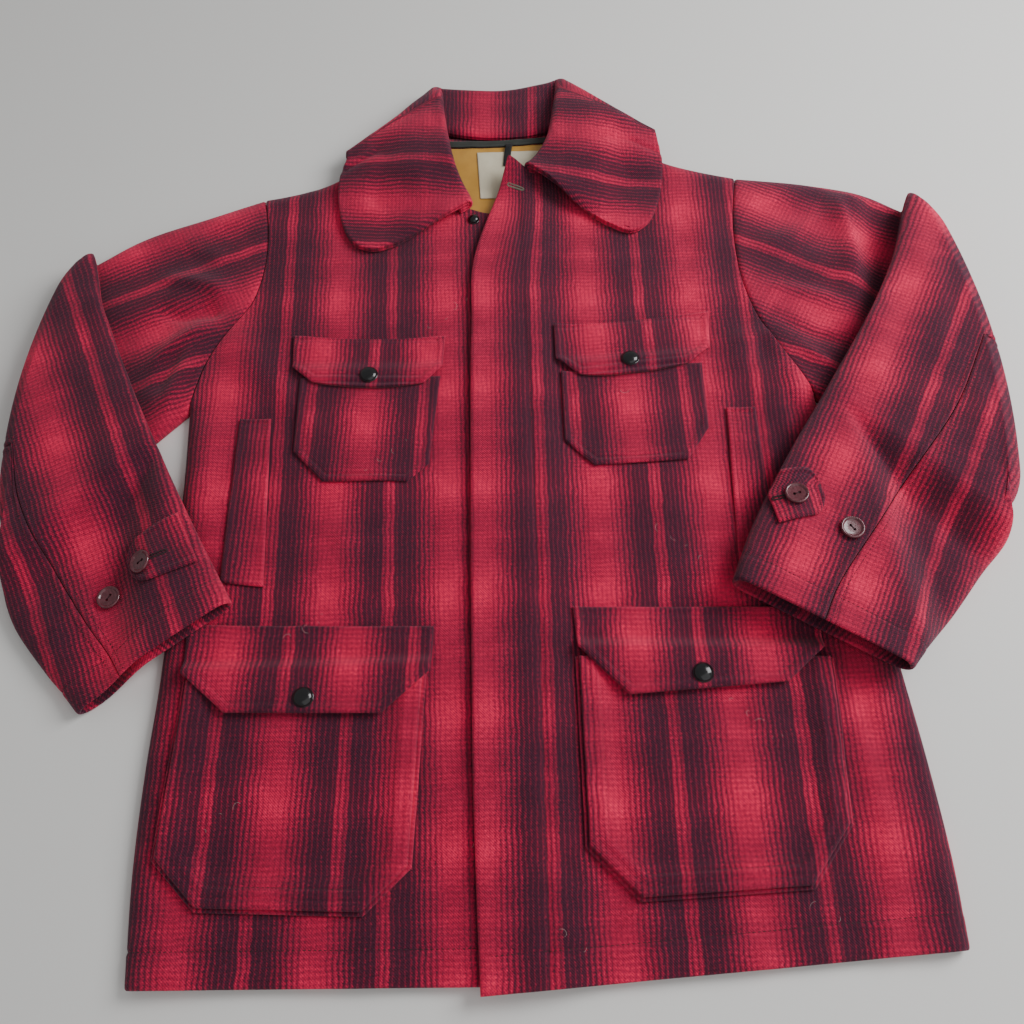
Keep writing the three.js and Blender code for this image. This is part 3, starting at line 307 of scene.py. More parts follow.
# Short threads along a line in space that dip into the cloth at their ends
def sewLine(points, normals):
    look = stitchLook
    points, normals = np.array(points, float), np.array(normals, float)
    size = np.linalg.norm(np.diff(points, axis=0), axis=1)
    total = np.concatenate([[0], np.cumsum(size)])
    for start in np.arange(1, total[-1] - look["length"], look["length"] + look["gap"]):
        at = start + np.array([0, 0.18, 0.5, 0.82, 1]) * look["length"]
        rise = np.array([look["ends"], 0.12, look["crown"], 0.12, look["ends"]]) - look["sink"]
        place = np.stack([np.interp(at, total, points[:, k]) for k in range(3)], 1)
        up = np.stack([np.interp(at, total, normals[:, k]) for k in range(3)], 1)
        threads["stitches"].append((place + up * rise[:, None], look["radius"]))


# The line on a wall's outer face at a distance from one of its sides
def sewWall(outer, inner, distances, side, place, skip=2):
    normals = unitAlong(outer - inner)
    if side in ("foot", "head"):
        outer, normals, off = outer.swapaxes(0, 1), normals.swapaxes(0, 1), distances[side].T
    else:
        off = distances[side]
    if side in ("head", "end"):
        outer, normals, off = outer[:, ::-1], normals[:, ::-1], off[:, ::-1]
    points, ups = [], []
    for row, up, far in list(zip(outer, normals, off))[skip:len(outer) - skip]:
        if far[-1] > place * 1.5:
            points.append([np.interp(place, far, row[:, k]) for k in range(3)])
            ups.append([np.interp(place, far, up[:, k]) for k in range(3)])
    sewLine(points, ups)


# A wall's round rim: its reach, the least fullness at the edge, where relief sets in, a row's width
rimLook = {"reach": 1.7, "least": 0.02, "calm": 3, "dentWidth": 1.25}


def roundRim(rim, reach):
    return np.sqrt(np.maximum(1 - (1 - np.minimum(rim / reach, 1)) ** 2, rimLook["least"]))


# Rounds a wall's rims, fills out its turned edges and presses in its rows of stitching
def dressed(outer, inner, distances, stitched=(), swell=0.5, dent=0.7):
    middle, half = (outer + inner) / 2, (outer - inner) / 2
    rim = np.minimum.reduce(list(distances.values()))
    full = roundRim(rim, rimLook["reach"])[..., None]
    relief = np.zeros(rim.shape)
    for name, (place,) in dict(stitched).items():
        off = distances[name]
        relief -= dent * np.exp(-((off - place) / rimLook["dentWidth"]) ** 2)
        relief += swell * smoothStep(0.5, 2.5, off) * (1 - smoothStep(place - 2.5, place + 1.5, off))
    relief *= np.minimum(rim / rimLook["calm"], 1)
    return middle + half * full + unitAlong(half) * relief[..., None], middle - half * full


made = {}
materials = {}


def linked(name, data):
    thing = bpy.data.objects.new(name, data)
    bpy.context.scene.collection.objects.link(thing)
    return thing


def meshPiece(name, vertices, faces, material, uv):
    mesh = bpy.data.meshes.new(name)
    faces = np.asarray(faces, np.int32)
    mesh.vertices.add(len(vertices))
    mesh.vertices.foreach_set("co", ((vertices + shift) / 1000).astype(np.float32).ravel())
    mesh.loops.add(faces.size)
    mesh.loops.foreach_set("vertex_index", faces.ravel())
    mesh.polygons.add(len(faces))
    mesh.polygons.foreach_set("loop_start", np.arange(0, faces.size, faces.shape[1], dtype=np.int32))
    mesh.polygons.foreach_set("use_smooth", np.ones(len(faces), bool))
    layer = mesh.uv_layers.new(name="ClothMap")
    layer.data.foreach_set("uv", uv[faces.ravel()].astype(np.float32).ravel())
    mesh.update(calc_edges=True)
    mesh.materials.append(materials[material])
    made[name] = linked(name, mesh)
    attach(made[name], "root")


# A closed wall of cloth between two grids, with its plaid map in millimetres
def wall(name, outer, inner, material, uv):
    rows, columns = outer.shape[:2]
    at = np.arange(rows * columns).reshape(rows, columns)
    under = at + rows * columns

    def quads(a, b, c, d):
        return np.stack([a.ravel(), b.ravel(), c.ravel(), d.ravel()], 1)

    faces = np.concatenate([
        quads(at[:-1, :-1], at[:-1, 1:], at[1:, 1:], at[1:, :-1]),
        quads(under[:-1, :-1], under[1:, :-1], under[1:, 1:], under[:-1, 1:]),
        quads(at[0, 1:], at[0, :-1], under[0, :-1], under[0, 1:]),
        quads(at[-1, :-1], at[-1, 1:], under[-1, 1:], under[-1, :-1]),
        quads(at[:-1, 0], at[1:, 0], under[1:, 0], under[:-1, 0]),
        quads(at[1:, -1], at[:-1, -1], under[:-1, -1], under[1:, -1]),
    ])
    vertices = np.concatenate([outer.reshape(-1, 3), inner.reshape(-1, 3)])
    a, b, c, d = (vertices[faces[:, k]] for k in range(4))
    volume = (np.cross(b - a, c - a) * a).sum() + (np.cross(c - a, d - a) * a).sum()
    if volume < 0:
        faces = faces[:, ::-1]
    both = np.concatenate([uv.reshape(-1, 2), uv.reshape(-1, 2)])
    meshPiece(name, vertices, faces, material, both)


# The wall's other side, a ply's thickness in along the surface's own normal
def underside(outer, thickness, lowest, flip):
    inner = outer - facing(outer) * thickness * flip
    inner[..., 2] = np.maximum(inner[..., 2], lowest(inner[..., 0], inner[..., 1]))
    return inner


# Materials. Small helpers add a node with its settings, and its links or values.
def addNode(tree, kind, inputs=(), **settings):
    node = tree.nodes.new(kind)
    for name, value in settings.items():
        setattr(node, name, value)
    for key, value in dict(inputs).items():
        if isinstance(value, bpy.types.NodeSocket):
            tree.links.new(value, node.inputs[key])
        else:
            node.inputs[key].default_value = value
    return node


def maths(tree, operation, *inputs):
    return addNode(tree, "ShaderNodeMath", dict(enumerate(inputs)), operation=operation).outputs[0]


def vectorMaths(tree, operation, *inputs):
    return addNode(tree, "ShaderNodeVectorMath", dict(enumerate(inputs)), operation=operation).outputs[0]


def mapRange(tree, *inputs, **settings):
    return addNode(tree, "ShaderNodeMapRange", dict(enumerate(inputs)), **settings).outputs[0]


def noise(tree, place, scale, detail, **more):
    inputs = {"Vector": place, "Scale": scale, "Detail": detail, **more}
    return addNode(tree, "ShaderNodeTexNoise", inputs).outputs


def mixColour(tree, share, a, b):
    return addNode(tree, "ShaderNodeMix", {0: share, 6: a, 7: b}, data_type="RGBA").outputs[2]


# A group's inputs are given by their values, and one without a value is a vector
def newGroup(name, inputs, outputs):
    tree = bpy.data.node_groups.new(name, "ShaderNodeTree")
    for key, value in inputs.items():
        kind = "Vector" if value is None else "Color" if isinstance(value, tuple) else "Float"
        socket = tree.interface.new_socket(key, in_out="INPUT", socket_type=f"NodeSocket{kind}")
        if value is not None:
            socket.default_value = value
    for key, kind in outputs.items():
        tree.interface.new_socket(key, in_out="OUTPUT", socket_type=kind)
    return tree, tree.nodes.new("NodeGroupInput").outputs, tree.nodes.new("NodeGroupOutput").inputs


# The shadow plaid, charted: how much dark yarn there is at each distance in millimetres
# from the middle of a bright band. The chart repeats, mirrored, every 100 mm both ways.
plaidChart = {
    "half": 50, "line": 4.1,
    "warp": [(0, 0.0), (6, 0.05), (11, 0.34), (20, 0.6), (28, 0.82), (32, 1), (43.5, 1), (46.2, 0.5),
             (50, 0.44)],
    "weft": [(0, 0.0), (7, 0.1), (14, 0.45), (25, 0.7), (32, 0.97), (44, 0.97), (47, 0.74), (50, 0.7)],
}


# Darkness of one set of yarns, from bands of thin dark lines that thicken into solid dark
def yarnMask(tree, place, stops, soft, grain):
    half, line = plaidChart["half"], plaidChart["line"]
    turned = maths(tree, "ADD", maths(tree, "DIVIDE", place, 2 * half), 0.5)
    off = maths(tree, "ABSOLUTE", maths(tree, "SUBTRACT", maths(tree, "FRACT", turned), 0.5))
    ramp = addNode(tree, "ShaderNodeValToRGB", {0: maths(tree, "MULTIPLY", off, 2.0)})
    elements = ramp.color_ramp.elements
    for i, (at, dark) in enumerate(stops):
        element = elements[i] if i < 2 else elements.new(at / half)
        element.position = at / half
        element.color = (dark, dark, dark, 1)
    lines = maths(tree, "FRACT", maths(tree, "DIVIDE", place, line))
    saw = maths(tree, "MULTIPLY", maths(tree, "ABSOLUTE", maths(tree, "SUBTRACT", lines, 0.5)), 2.0)
    level = maths(tree, "MULTIPLY_ADD", ramp.outputs[0], 1.5, -1.25)
    dark = maths(tree, "ADD", maths(tree, "ADD", saw, level), grain)
    return mapRange(tree, dark, maths(tree, "MULTIPLY", soft, -1.0), soft, interpolation_type="SMOOTHSTEP")


def plaidGroup():
    tree, given, result = newGroup("ombre_plaid", {
        "Cloth": None, "Bright": (0.62, 0.012, 0.028, 1), "Dark": (0.012, 0.009, 0.017, 1),
        "Warp depth": 0.95, "Weft depth": 0.45, "Line softness": 0.6, "Grain": 2.4,
    }, {"Color": "NodeSocketColor"})
    wobble = noise(tree, given["Cloth"], 0.06, 1.0)
    sway = vectorMaths(tree, "SUBTRACT", wobble["Color"], (0.5, 0.5, 0.5))
    swayed = vectorMaths(tree, "MULTIPLY_ADD", sway, (3.0, 3.0, 0), given["Cloth"])
    fuzz = noise(tree, given["Cloth"], 0.6, 4.0, Roughness=0.65)
    fuzzy = vectorMaths(tree, "MULTIPLY_ADD", fuzz["Color"], (2.6, 2.6, 0), swayed)
    place = addNode(tree, "ShaderNodeSeparateXYZ", {0: fuzzy}).outputs
    grain = maths(tree, "MULTIPLY", maths(tree, "SUBTRACT", fuzz[0], 0.5), given["Grain"])
    weftSoft = maths(tree, "MULTIPLY", given["Line softness"], 1.5)
    warp = yarnMask(tree, place[0], plaidChart["warp"], given["Line softness"], grain)
    weft = yarnMask(tree, place[1], plaidChart["weft"], weftSoft, grain)
    leftBright = [maths(tree, "SUBTRACT", 1.0, maths(tree, "MULTIPLY", mask, given[depth]))
                  for mask, depth in ((warp, "Warp depth"), (weft, "Weft depth"))]
    brightness = maths(tree, "MULTIPLY", *leftBright)
    tree.links.new(mixColour(tree, brightness, given["Dark"], given["Bright"]), result["Color"])
    return tree


# Brushed nap over a diagonal twill: a mask that lightens and darkens, and a height for bump
def napGroup():
    tree, given, result = newGroup("brushed_nap", {
        "Cloth": None, "Twill pitch": 2.1, "Nap size": 1.4, "Twill share": 0.35,
    }, {"Shade": "NodeSocketFloat", "Height": "NodeSocketFloat"})
    place = addNode(tree, "ShaderNodeSeparateXYZ", {0: given["Cloth"]}).outputs
    diagonal = maths(tree, "DIVIDE", maths(tree, "ADD", place[0], place[1]), given["Twill pitch"])
    twill = maths(tree, "SINE", maths(tree, "MULTIPLY", diagonal, 2 * math.pi))
    size = maths(tree, "DIVIDE", 1.0, given["Nap size"])
    nap = noise(tree, given["Cloth"], size, 5.0, Roughness=0.68, Distortion=1.2)
    broad = noise(tree, given["Cloth"], 0.05, 3.0)
    felt = maths(tree, "ADD", maths(tree, "MULTIPLY", nap[0], 0.75),
                 maths(tree, "MULTIPLY", broad[0], 0.25))
    for key, share in (("Height", 0.5), ("Shade", 0.1)):
        twillShare = maths(tree, "MULTIPLY", given["Twill share"], share)
        tree.links.new(maths(tree, "MULTIPLY_ADD", twill, twillShare, felt), result[key])
    return tree


# Fine plain weave for satin, tape and label
def weaveGroup():
    tree, given, result = newGroup("fine_weave", {"Cloth": None, "Pitch": 0.8, "Rib": 0.5},
                                   {"Height": "NodeSocketFloat", "Shade": "NodeSocketFloat"})
    place = addNode(tree, "ShaderNodeSeparateXYZ", {0: given["Cloth"]}).outputs
    turns = [maths(tree, "MULTIPLY", maths(tree, "DIVIDE", p, given["Pitch"]), 2 * math.pi)
             for p in place[:2]]
    ribsAcross, ribsAlong = (maths(tree, "SINE", turn) for turn in turns)
    ribs = maths(tree, "ADD", maths(tree, "MULTIPLY", ribsAcross, given["Rib"]),
                 maths(tree, "MULTIPLY", ribsAlong, 0.5))
    tree.links.new(ribs, result["Height"])
    tree.links.new(noise(tree, given["Cloth"], 0.08, 4.0)[0], result["Shade"])
    return tree


groups = {"plaid": plaidGroup(), "nap": napGroup(), "weave": weaveGroup()}


def newMaterial(name, roughness, **shader):
    material = bpy.data.materials.new(name)
    material.use_nodes = True
    tree = material.node_tree
    principled = tree.nodes["Principled BSDF"]
    principled.inputs["Roughness"].default_value = roughness
    for key, value in shader.items():
        principled.inputs[key.replace("_", " ")].default_value = value
    materials[name] = material
    return tree, principled


def placeGroup(tree, name, inputs):
    return addNode(tree, "ShaderNodeGroup", inputs, node_tree=groups[name]).outputs


def bumped(tree, principled, height, strength, distance):
    bump = addNode(tree, "ShaderNodeBump",
                   {"Height": height, "Strength": strength, "Distance": distance})
    tree.links.new(bump.outputs[0], principled.inputs["Normal"])


# The plaid wool; what a user would change
woolLook = {
    "bright": (0.92, 0.014, 0.085, 1), "dark": (0.007, 0.0065, 0.016, 1), "haze": (0.21, 0.07, 0.15, 1),
    "warpDepth": 0.92, "weftDepth": 0.55, "softness": 0.85, "grain": 1.7, "napDepth": 0.75, "sheen": 0.2,
}


def plaidWool():
    tree, principled = newMaterial("plaid_wool", 0.95, Sheen_Weight=woolLook["sheen"], Sheen_Roughness=0.55,
                                   Sheen_Tint=(1.0, 0.6, 0.72, 1), Specular_IOR_Level=0.15)
    cloth = addNode(tree, "ShaderNodeUVMap", uv_map="ClothMap").outputs[0]
    plaid = placeGroup(tree, "plaid", {
        "Cloth": cloth, "Bright": woolLook["bright"], "Dark": woolLook["dark"],
        "Warp depth": woolLook["warpDepth"], "Weft depth": woolLook["weftDepth"],
        "Line softness": woolLook["softness"], "Grain": woolLook["grain"]})
    nap = placeGroup(tree, "nap", {"Cloth": cloth})
    level = mapRange(tree, nap["Shade"], 0.34, 0.66, 0.5, 1.35)
    tinted = vectorMaths(tree, "MULTIPLY", plaid["Color"], level)
    fibre = mapRange(tree, noise(tree, cloth, 0.9, 6.0, Roughness=0.8)[0], 0.45, 0.75, 0.015, 0.3)
    colour = mixColour(tree, fibre, tinted, woolLook["haze"])
    tree.links.new(colour, principled.inputs["Base Color"])
    bumped(tree, principled, nap["Height"], woolLook["napDepth"], 0.0011)


# Lining, label, binding and tape: colour, roughness, weave pitch in millimetres and bump
clothLooks = {
    "satin_lining": {"colour": (0.62, 0.33, 0.05, 1), "deep": (0.42, 0.2, 0.03, 1), "rough": 0.33,
                     "pitch": 0.7, "bump": 0.12, "sheen": 0.2, "specular": 0.6},
    "label_cloth": {"colour": (0.72, 0.66, 0.5, 1), "deep": (0.58, 0.52, 0.38, 1), "rough": 0.75,
                    "pitch": 0.9, "bump": 0.35, "sheen": 0.1, "specular": 0.3},
    "dark_binding": {"colour": (0.035, 0.04, 0.034, 1), "deep": (0.02, 0.023, 0.02, 1), "rough": 0.7,
                     "pitch": 1.3, "bump": 0.5, "sheen": 0.2, "specular": 0.3},
    "black_tape": {"colour": (0.012, 0.012, 0.014, 1), "deep": (0.006, 0.006, 0.007, 1), "rough": 0.6,
                   "pitch": 1.2, "bump": 0.5, "sheen": 0.1, "specular": 0.3},
    "dark_thread": {"colour": (0.035, 0.008, 0.013, 1), "deep": (0.02, 0.005, 0.008, 1), "rough": 0.6,
                    "pitch": 0.5, "bump": 0.3, "sheen": 0.1, "specular": 0.4},
    "hole_thread": {"colour": (0.20, 0.21, 0.15, 1), "deep": (0.10, 0.11, 0.08, 1), "rough": 0.6,
                    "pitch": 0.5, "bump": 0.3, "sheen": 0.1, "specular": 0.4},
    "pale_lint": {"colour": (0.62, 0.55, 0.5, 1), "deep": (0.5, 0.42, 0.38, 1), "rough": 0.8,
                  "pitch": 0.5, "bump": 0.1, "sheen": 0.1, "specular": 0.2},
}


def plainCloth(name):
    look = clothLooks[name]
    tree, principled = newMaterial(name, look["rough"], Sheen_Weight=look["sheen"],
                                   Specular_IOR_Level=look["specular"])
    cloth = addNode(tree, "ShaderNodeUVMap", uv_map="ClothMap").outputs[0]
    weave = placeGroup(tree, "weave", {"Cloth": cloth, "Pitch": look["pitch"]})
    colour = mixColour(tree, weave["Shade"], look["colour"], look["deep"])
    tree.links.new(colour, principled.inputs["Base Color"])
    bumped(tree, principled, weave["Height"], look["bump"], 0.0002)


# Snaps and buttons: glossy plastic with a faint swirl and fine wear
hardLooks = {
    "black_snap": {"colour": (0.004, 0.004, 0.005, 1), "swirl": (0.008, 0.008, 0.009, 1), "rough": 0.12,
                   "coat": 0.2},
    "brown_button": {"colour": (0.085, 0.010, 0.018, 1), "swirl": (0.15, 0.03, 0.045, 1), "rough": 0.2,
                     "coat": 0.7},
}


def hardPlastic(name):
    look = hardLooks[name]
    tree, principled = newMaterial(name, look["rough"], Coat_Weight=look["coat"], Coat_Roughness=0.08)
    place = addNode(tree, "ShaderNodeTexCoord").outputs["Object"]
    share = mapRange(tree, noise(tree, place, 160.0, 4.0, Distortion=2.5)[0], 0.4, 0.7)
    colour = mixColour(tree, share, look["colour"], look["swirl"])
    tree.links.new(colour, principled.inputs["Base Color"])
    fine = noise(tree, place, 900.0, 6.0)[0]
    wear = mapRange(tree, fine, 0.35, 0.75, look["rough"], look["rough"] + 0.16)
    tree.links.new(wear, principled.inputs["Roughness"])


plaidWool()
for name in clothLooks:
    plainCloth(name)
for name in hardLooks:
    hardPlastic(name)
print("materials made")


# Where a bright crossing of the plaid falls on each piece, in its plan, and how far the warp leans
plaidPlaces = {
    "back_panel": (20, 22, 0.0), "front_right": (-54.7, 22, 0.039), "front_left": (-24.1, 22, 0.017),
    "fly_left": (-24, 22, 0.0),
    "chest_pocket_right": (-130, 83, -0.02), "chest_pocket_left": (108, 104, 0.04),
    "chest_flap_right": (-75, 157, 0.0), "chest_flap_left": (178, 184, 0.05),
    "hip_pocket_right": (-178, -246, 0.01), "hip_pocket_left": (78, -246, 0.02),
    "hip_flap_right": (-128, -138, 0.0), "hip_flap_left": (102, -118, 0.0),
    "hip_gusset_right": (-178, -246, 0.01), "hip_gusset_left": (78, -246, 0.02),
    "hand_welt_right": (-205, 20, 0.0), "hand_welt_left": (190, 20, 0.0),
}


def plaidOn(name, points):
    x0, y0, lean = plaidPlaces[name]
    x, y = points[..., 0], points[..., 1]
    return np.stack([x - x0 + lean * (y - y0), y - y0 - lean * (x - x0)], -1)


# The back panel, flat on the floor; v runs 0 to 1 up the side, to 2 at the armhole's top, to 3
def backPoints(u, v):
    ends = []
    for side in bothSides:
        low = rowAt(sides[side], v * 6)
        middle = rowAt(armholes[side], (v - 1) * 6)
        shoulder = shoulderPoint(side, np.clip(v - 2, 0, 1))
        ends.append([np.where(v <= 1, low[k], np.where(v <= 2, middle[k], shoulder[i]))
                     for i, k in enumerate("xy")])
    bend = 1 - (2 * u - 1) ** 2
    x = mix(ends[0][0], ends[1][0], u)
    y = mix(ends[0][1], ends[1][1], u) + 3 * (v <= 0) - smoothStep(2.5, 3, v) * 10 * bend
    return grid(x, y, neckRise(x, y) + wool)


def buildBack():
    u = steps(600, 7)[None, :]
    v = np.concatenate([np.linspace(0, 1, 56), np.linspace(1, 2, 34)[1:], np.linspace(2, 3, 22)[1:]])
    v = v[:, None]
    outer = backPoints(u, v)
    inner = outer - np.array([0, 0, wool])
    outer, inner = dressed(outer, inner, sideDistances(outer))
    inner[..., 2] = np.minimum(inner[..., 2], neckRise(outer[..., 0], outer[..., 1]))
    wall("jacket_back", outer, inner, "plaid_wool", plaidOn("back_panel", outer))


# The fronts; a column of points follows the lap's row of stitching
frontLook = {"pitch": 3.6, "hemStitch": 25, "hemDent": 0.8, "lapDent": 1.3, "lapSwell": 0.7, "tipShift": 17}


def frontPlan(side, u, v):
    low, arm = rowAt(sides[side], v), rowAt(armholes[side], v - 6)
    outerX, outerY = (np.where(v <= 6, low[k], arm[k]) for k in "xy")
    edge = rowAt(frontEdges[side], v, [edgeCorner])
    if side == "left":
        share = np.clip((flyX(outerY) - outerX) / (edge["x"] - outerX), 0.5, 0.95)
        u = np.where(u < 0.8, u / 0.8 * share, share + (u - 0.8) / 0.2 * (1 - share))
    close = smoothStep(9, 12, v)
    sag = shoulderSag[side] * close * 4 * u * (1 - u)
    return mix(outerX, edge["x"], u), mix(outerY, edge["y"], u) - sag


def buildFront(side):
    look = frontLook
    u = steps(320, look["pitch"], marks=(256,) if side == "left" else ())[None, :]
    rows = np.linspace(0, 12, 215)
    marks = [0.01, 0.025, 0.05, 0.3, 0.33, 0.36, 8.985, 9, 9.015, 11.97, 11.99]
    v = np.unique(np.concatenate([rows, marks]))[:, None]
    x, y = frontPlan(side, u, v)
    outer = grid(x, y, frontHeight(side, x, y))
    inner = underside(outer, wool, backClear, flip=1 if side == "right" else -1)
    distances = sideDistances(outer)
    stitched = {"foot": [look["hemStitch"]]}
    outer, inner = dressed(outer, inner, distances, stitched, swell=0.35, dent=look["hemDent"])
    sewWall(outer, inner, distances, "foot", look["hemStitch"])
    if side == "left":
        past = outer[..., 0] - flyX(outer[..., 1])
        fade = 1 - smoothStep(330, 365, outer[..., 1])
        outer[..., 2] -= look["lapDent"] * np.exp(-(past / 1.6) ** 2) * fade
        outer[..., 2] += look["lapSwell"] * np.exp(-((past + 12) / 8) ** 2) * fade
        edge = distances["end"]
        outer[..., 2] += look["lapSwell"] * np.exp(-((edge - 5) / 4) ** 2) * smoothStep(0, 2, edge) * fade
        lineY = np.arange(-352, 345, 4.0)
        lineX = flyX(lineY)
        lineZ = frontHeight("left", lineX, lineY) - look["lapDent"]
        sewLine(np.stack([lineX, lineY, lineZ], 1), np.tile([0, 0, 1.0], (len(lineY), 1)))
    uv = plaidOn(f"front_{side}", outer)
    if side == "left":
        near = np.exp(-((outer[..., 0] + 15) / 45) ** 2)
        uv[..., 0] -= look["tipShift"] * smoothStep(225, 345, outer[..., 1]) * near
    wall(f"front_{side}_cloth", outer, inner, "plaid_wool", uv)


def buildFly():
    u = steps(60, 3.5)[None, :]
    v = np.linspace(0, 9, 130)[:, None]
    edge = rowAt(frontEdges["left"], v, [edgeCorner])
    y = edge["y"] + 4 * (v <= 0) - 4 * (v >= 9)
    x = mix(edge["x"] + 4, flyX(edge["y"]) - 3, u)
    z = frontHeight("left", x, y) - wool - layGap - 0.3 * tipRise(x, y) - 0.2
    outer = grid(x, y, z)
    outer, inner = dressed(outer, outer - np.array([0, 0, wool]), sideDistances(outer))
    wall("fly_ply", outer, inner, "plaid_wool", plaidOn("fly_left", outer))


# Sleeves. Rings of the flattened tube: its two edges, outward bow, rises and lift.
ringColumns = "aX aY bX bY bow above below lift"
upperArms = {
    "right": table(ringColumns, [
        [-247.7, 344, -292, 95, 0, 1, 3.1, 0], [-300, 321, -326, 58, 2, 1, 3.1, 0],
        [-355, 297, -366, 14, 9, 1, 3.1, 0], [-408, 262, -417, -38, 20, 1, 3.1, 0]]),
    "left": table(ringColumns, [
        [226.3, 373, 276, 112, 0, 1, 3.1, 0], [292, 365, 320, 78, 2, 1, 3.1, 0],
        [348, 352, 368, 36, 9, 1, 3.1, 0], [394, 329, 412, -12, 22, 1, 3.1, 0]]),
}
forearms = {
    "right": table(ringColumns, [
        [-408, 262, -417, -38, 20, 6.2, 6.2, 16.4], [-366, 167, -423, -70, 12, 6.2, 6.2, 16.4],
        [-319, 72, -408, -106, 5, 6.2, 6.2, 17], [-272, -14, -377, -143, 2, 6.2, 6.2, 17.4],
        [-244, -62, -355, -165, 0, 6.6, 6.6, 17.4], [-226, -92.5, -341, -180, 0, 7.6, 7.6, 17.4]]),
    "left": table(ringColumns, [
        [394, 329, 412, -12, 22, 6.4, 6.4, 25], [341, 212, 414, -36, 12, 6.4, 6.4, 23],
        [282, 113, 391, -64, 5, 6.6, 6.6, 21], [238, 43, 359, -102, 2, 7, 7, 20.4],
        [200, -25, 327, -133, 0, 8.4, 8.4, 20.4], [178, -76, 312, -150, 0, 10.4, 10.4, 20.4]]),
}
armUpperRise, armRoll, floorClear, drapeStart, drapeReach = 9.2, 12, 0.4, 5, 46
hindSeam = {"right": 0.65, "left": 0.75}
forePuff, forePuffReach = 3.5, 60
cornerPull, cornerReach, cornerBulge = 8, 40, 0.25

# Creases of the upper arms and, lower down, of the forearms that lie on them
sleeveCreases = {
    "right": {
        "arm": table(creaseColumns, [
            [-266, 220, -340, 240, 11, 0.5, 6, 4.6], [-272, 202, -338, 204, 9, 0.5, -5, -4.2],
            [-280, 184, -334, 140, 10, 0.5, 6, 5.2], [-262, 262, -330, 296, 14, 0.6, -6, 2.6],
            [-288, 150, -312, 92, 9, 0.6, 3, 3.4], [-252, 320, -300, 300, 12, 0.7, 4, 1.2],
            [-296, 214, -276, 200, 9, 0.8, 0, -4.5], [-304, 160, -322, 108, 8, 0.7, 2, -3.4]]),
        "fore": table(creaseColumns, [
            [-400, 190, -392, 30, 17, 0.6, 12, 1.5], [-362, 120, -340, 0, 13, 0.6, -7, 1.2],
            [-420, 60, -396, -60, 12, 0.7, 5, 1.3], [-372, -30, -322, -130, 13, 0.6, 6, 1.4],
            [-330, 20, -282, -60, 12, 0.6, -4, -0.9], [-380, -90, -344, -158, 10, 0.6, 3, 1.2],
            [-300, -40, -262, -104, 11, 0.7, 3, 0.9]]),
    },
    "left": {
        "arm": table(creaseColumns, [
            [240, 236, 318, 214, 11, 0.5, -5, 3.2], [246, 205, 316, 168, 10, 0.5, 5, -3.0],
            [262, 170, 312, 120, 9, 0.5, -4, 3.6], [232, 280, 322, 330, 14, 0.6, 6, 2.4],
            [318, 350, 330, 240, 12, 0.5, -6, 4.2], [236, 350, 300, 352, 12, 0.7, 3, 0.8],
            [362, 352, 352, 190, 17, 0.8, 4, -4.2]]),
        "fore": table(creaseColumns, [
            [392, 250, 366, 110, 16, 0.6, -10, 1.7], [350, 190, 320, 80, 13, 0.6, 7, 1.3],
            [412, 120, 392, -10, 13, 0.6, -5, 1.5], [340, 60, 286, -70, 14, 0.6, -6, 1.5],
            [296, 90, 246, 0, 12, 0.6, 5, -0.9], [372, 0, 326, -100, 12, 0.6, 4, 1.3],
            [250, 20, 216, -50, 11, 0.7, -3, 1.0], [262, 30, 226, -60, 9, 0.7, 3, 0.9]]),
    },
}


def roundOff(reach, width):
    return np.sqrt(np.maximum(1 - (1 - np.minimum(reach / width, 1)) ** 2, 0))


def insideOf(x, y, polygon):
    hit = np.zeros(np.shape(x), bool)
    for a, b in zip(polygon, polygon[1:] + polygon[:1]):
        if a[1] != b[1]:
            cut = (b[0] - a[0]) * (y - a[1]) / (b[1] - a[1]) + a[0]
            hit ^= ((a[1] > y) != (b[1] > y)) & (x < cut)
    return hit


def ringPlan(side, row, s, fade):
    seam = rowAt(armholes[side], (1 - s) * 6)
    hole = armholes[side]
    x = mix(row["aX"], row["bX"], s) + outward[side] * row["bow"] * 4 * s * (1 - s)
    y = mix(row["aY"], row["bY"], s)
    return (x + (seam["x"] - mix(hole["x"][-1], hole["x"][0], s)) * fade,
            y + (seam["y"] - mix(hole["y"][-1], hole["y"][0], s)) * fade)


def armSupports(side):
    other = "left" if side == "right" else "right"
    middle = [(0, neckPoints[side][1]), (0, sides[other]["y"][0])]
    body = rolledEdges[side][0] + curvePoints(armholes[side], 12) + [neckPoints[side]] + middle
    arm = upperArms[side]
    crease = {k: arm[k][-1] for k in arm}
    bow = [tuple(float(c) for c in ringPlan(side, crease, s, 0)) for s in (0.25, 0.5, 0.75)]
    rings = list(zip(arm["aX"], arm["aY"])), list(zip(arm["bX"], arm["bY"]))
    return [body, rings[0] + bow + rings[1][::-1]]


def held(side, x, y):
    off = np.full(np.shape(x), np.inf)
    for polygon in armSupports(side):
        outside = nearest(x, y, polygon + polygon[:1])[0]
        off = np.minimum(off, np.where(insideOf(x, y, polygon), 0, outside))
    return 1 - smoothStep(drapeStart, drapeReach, off)


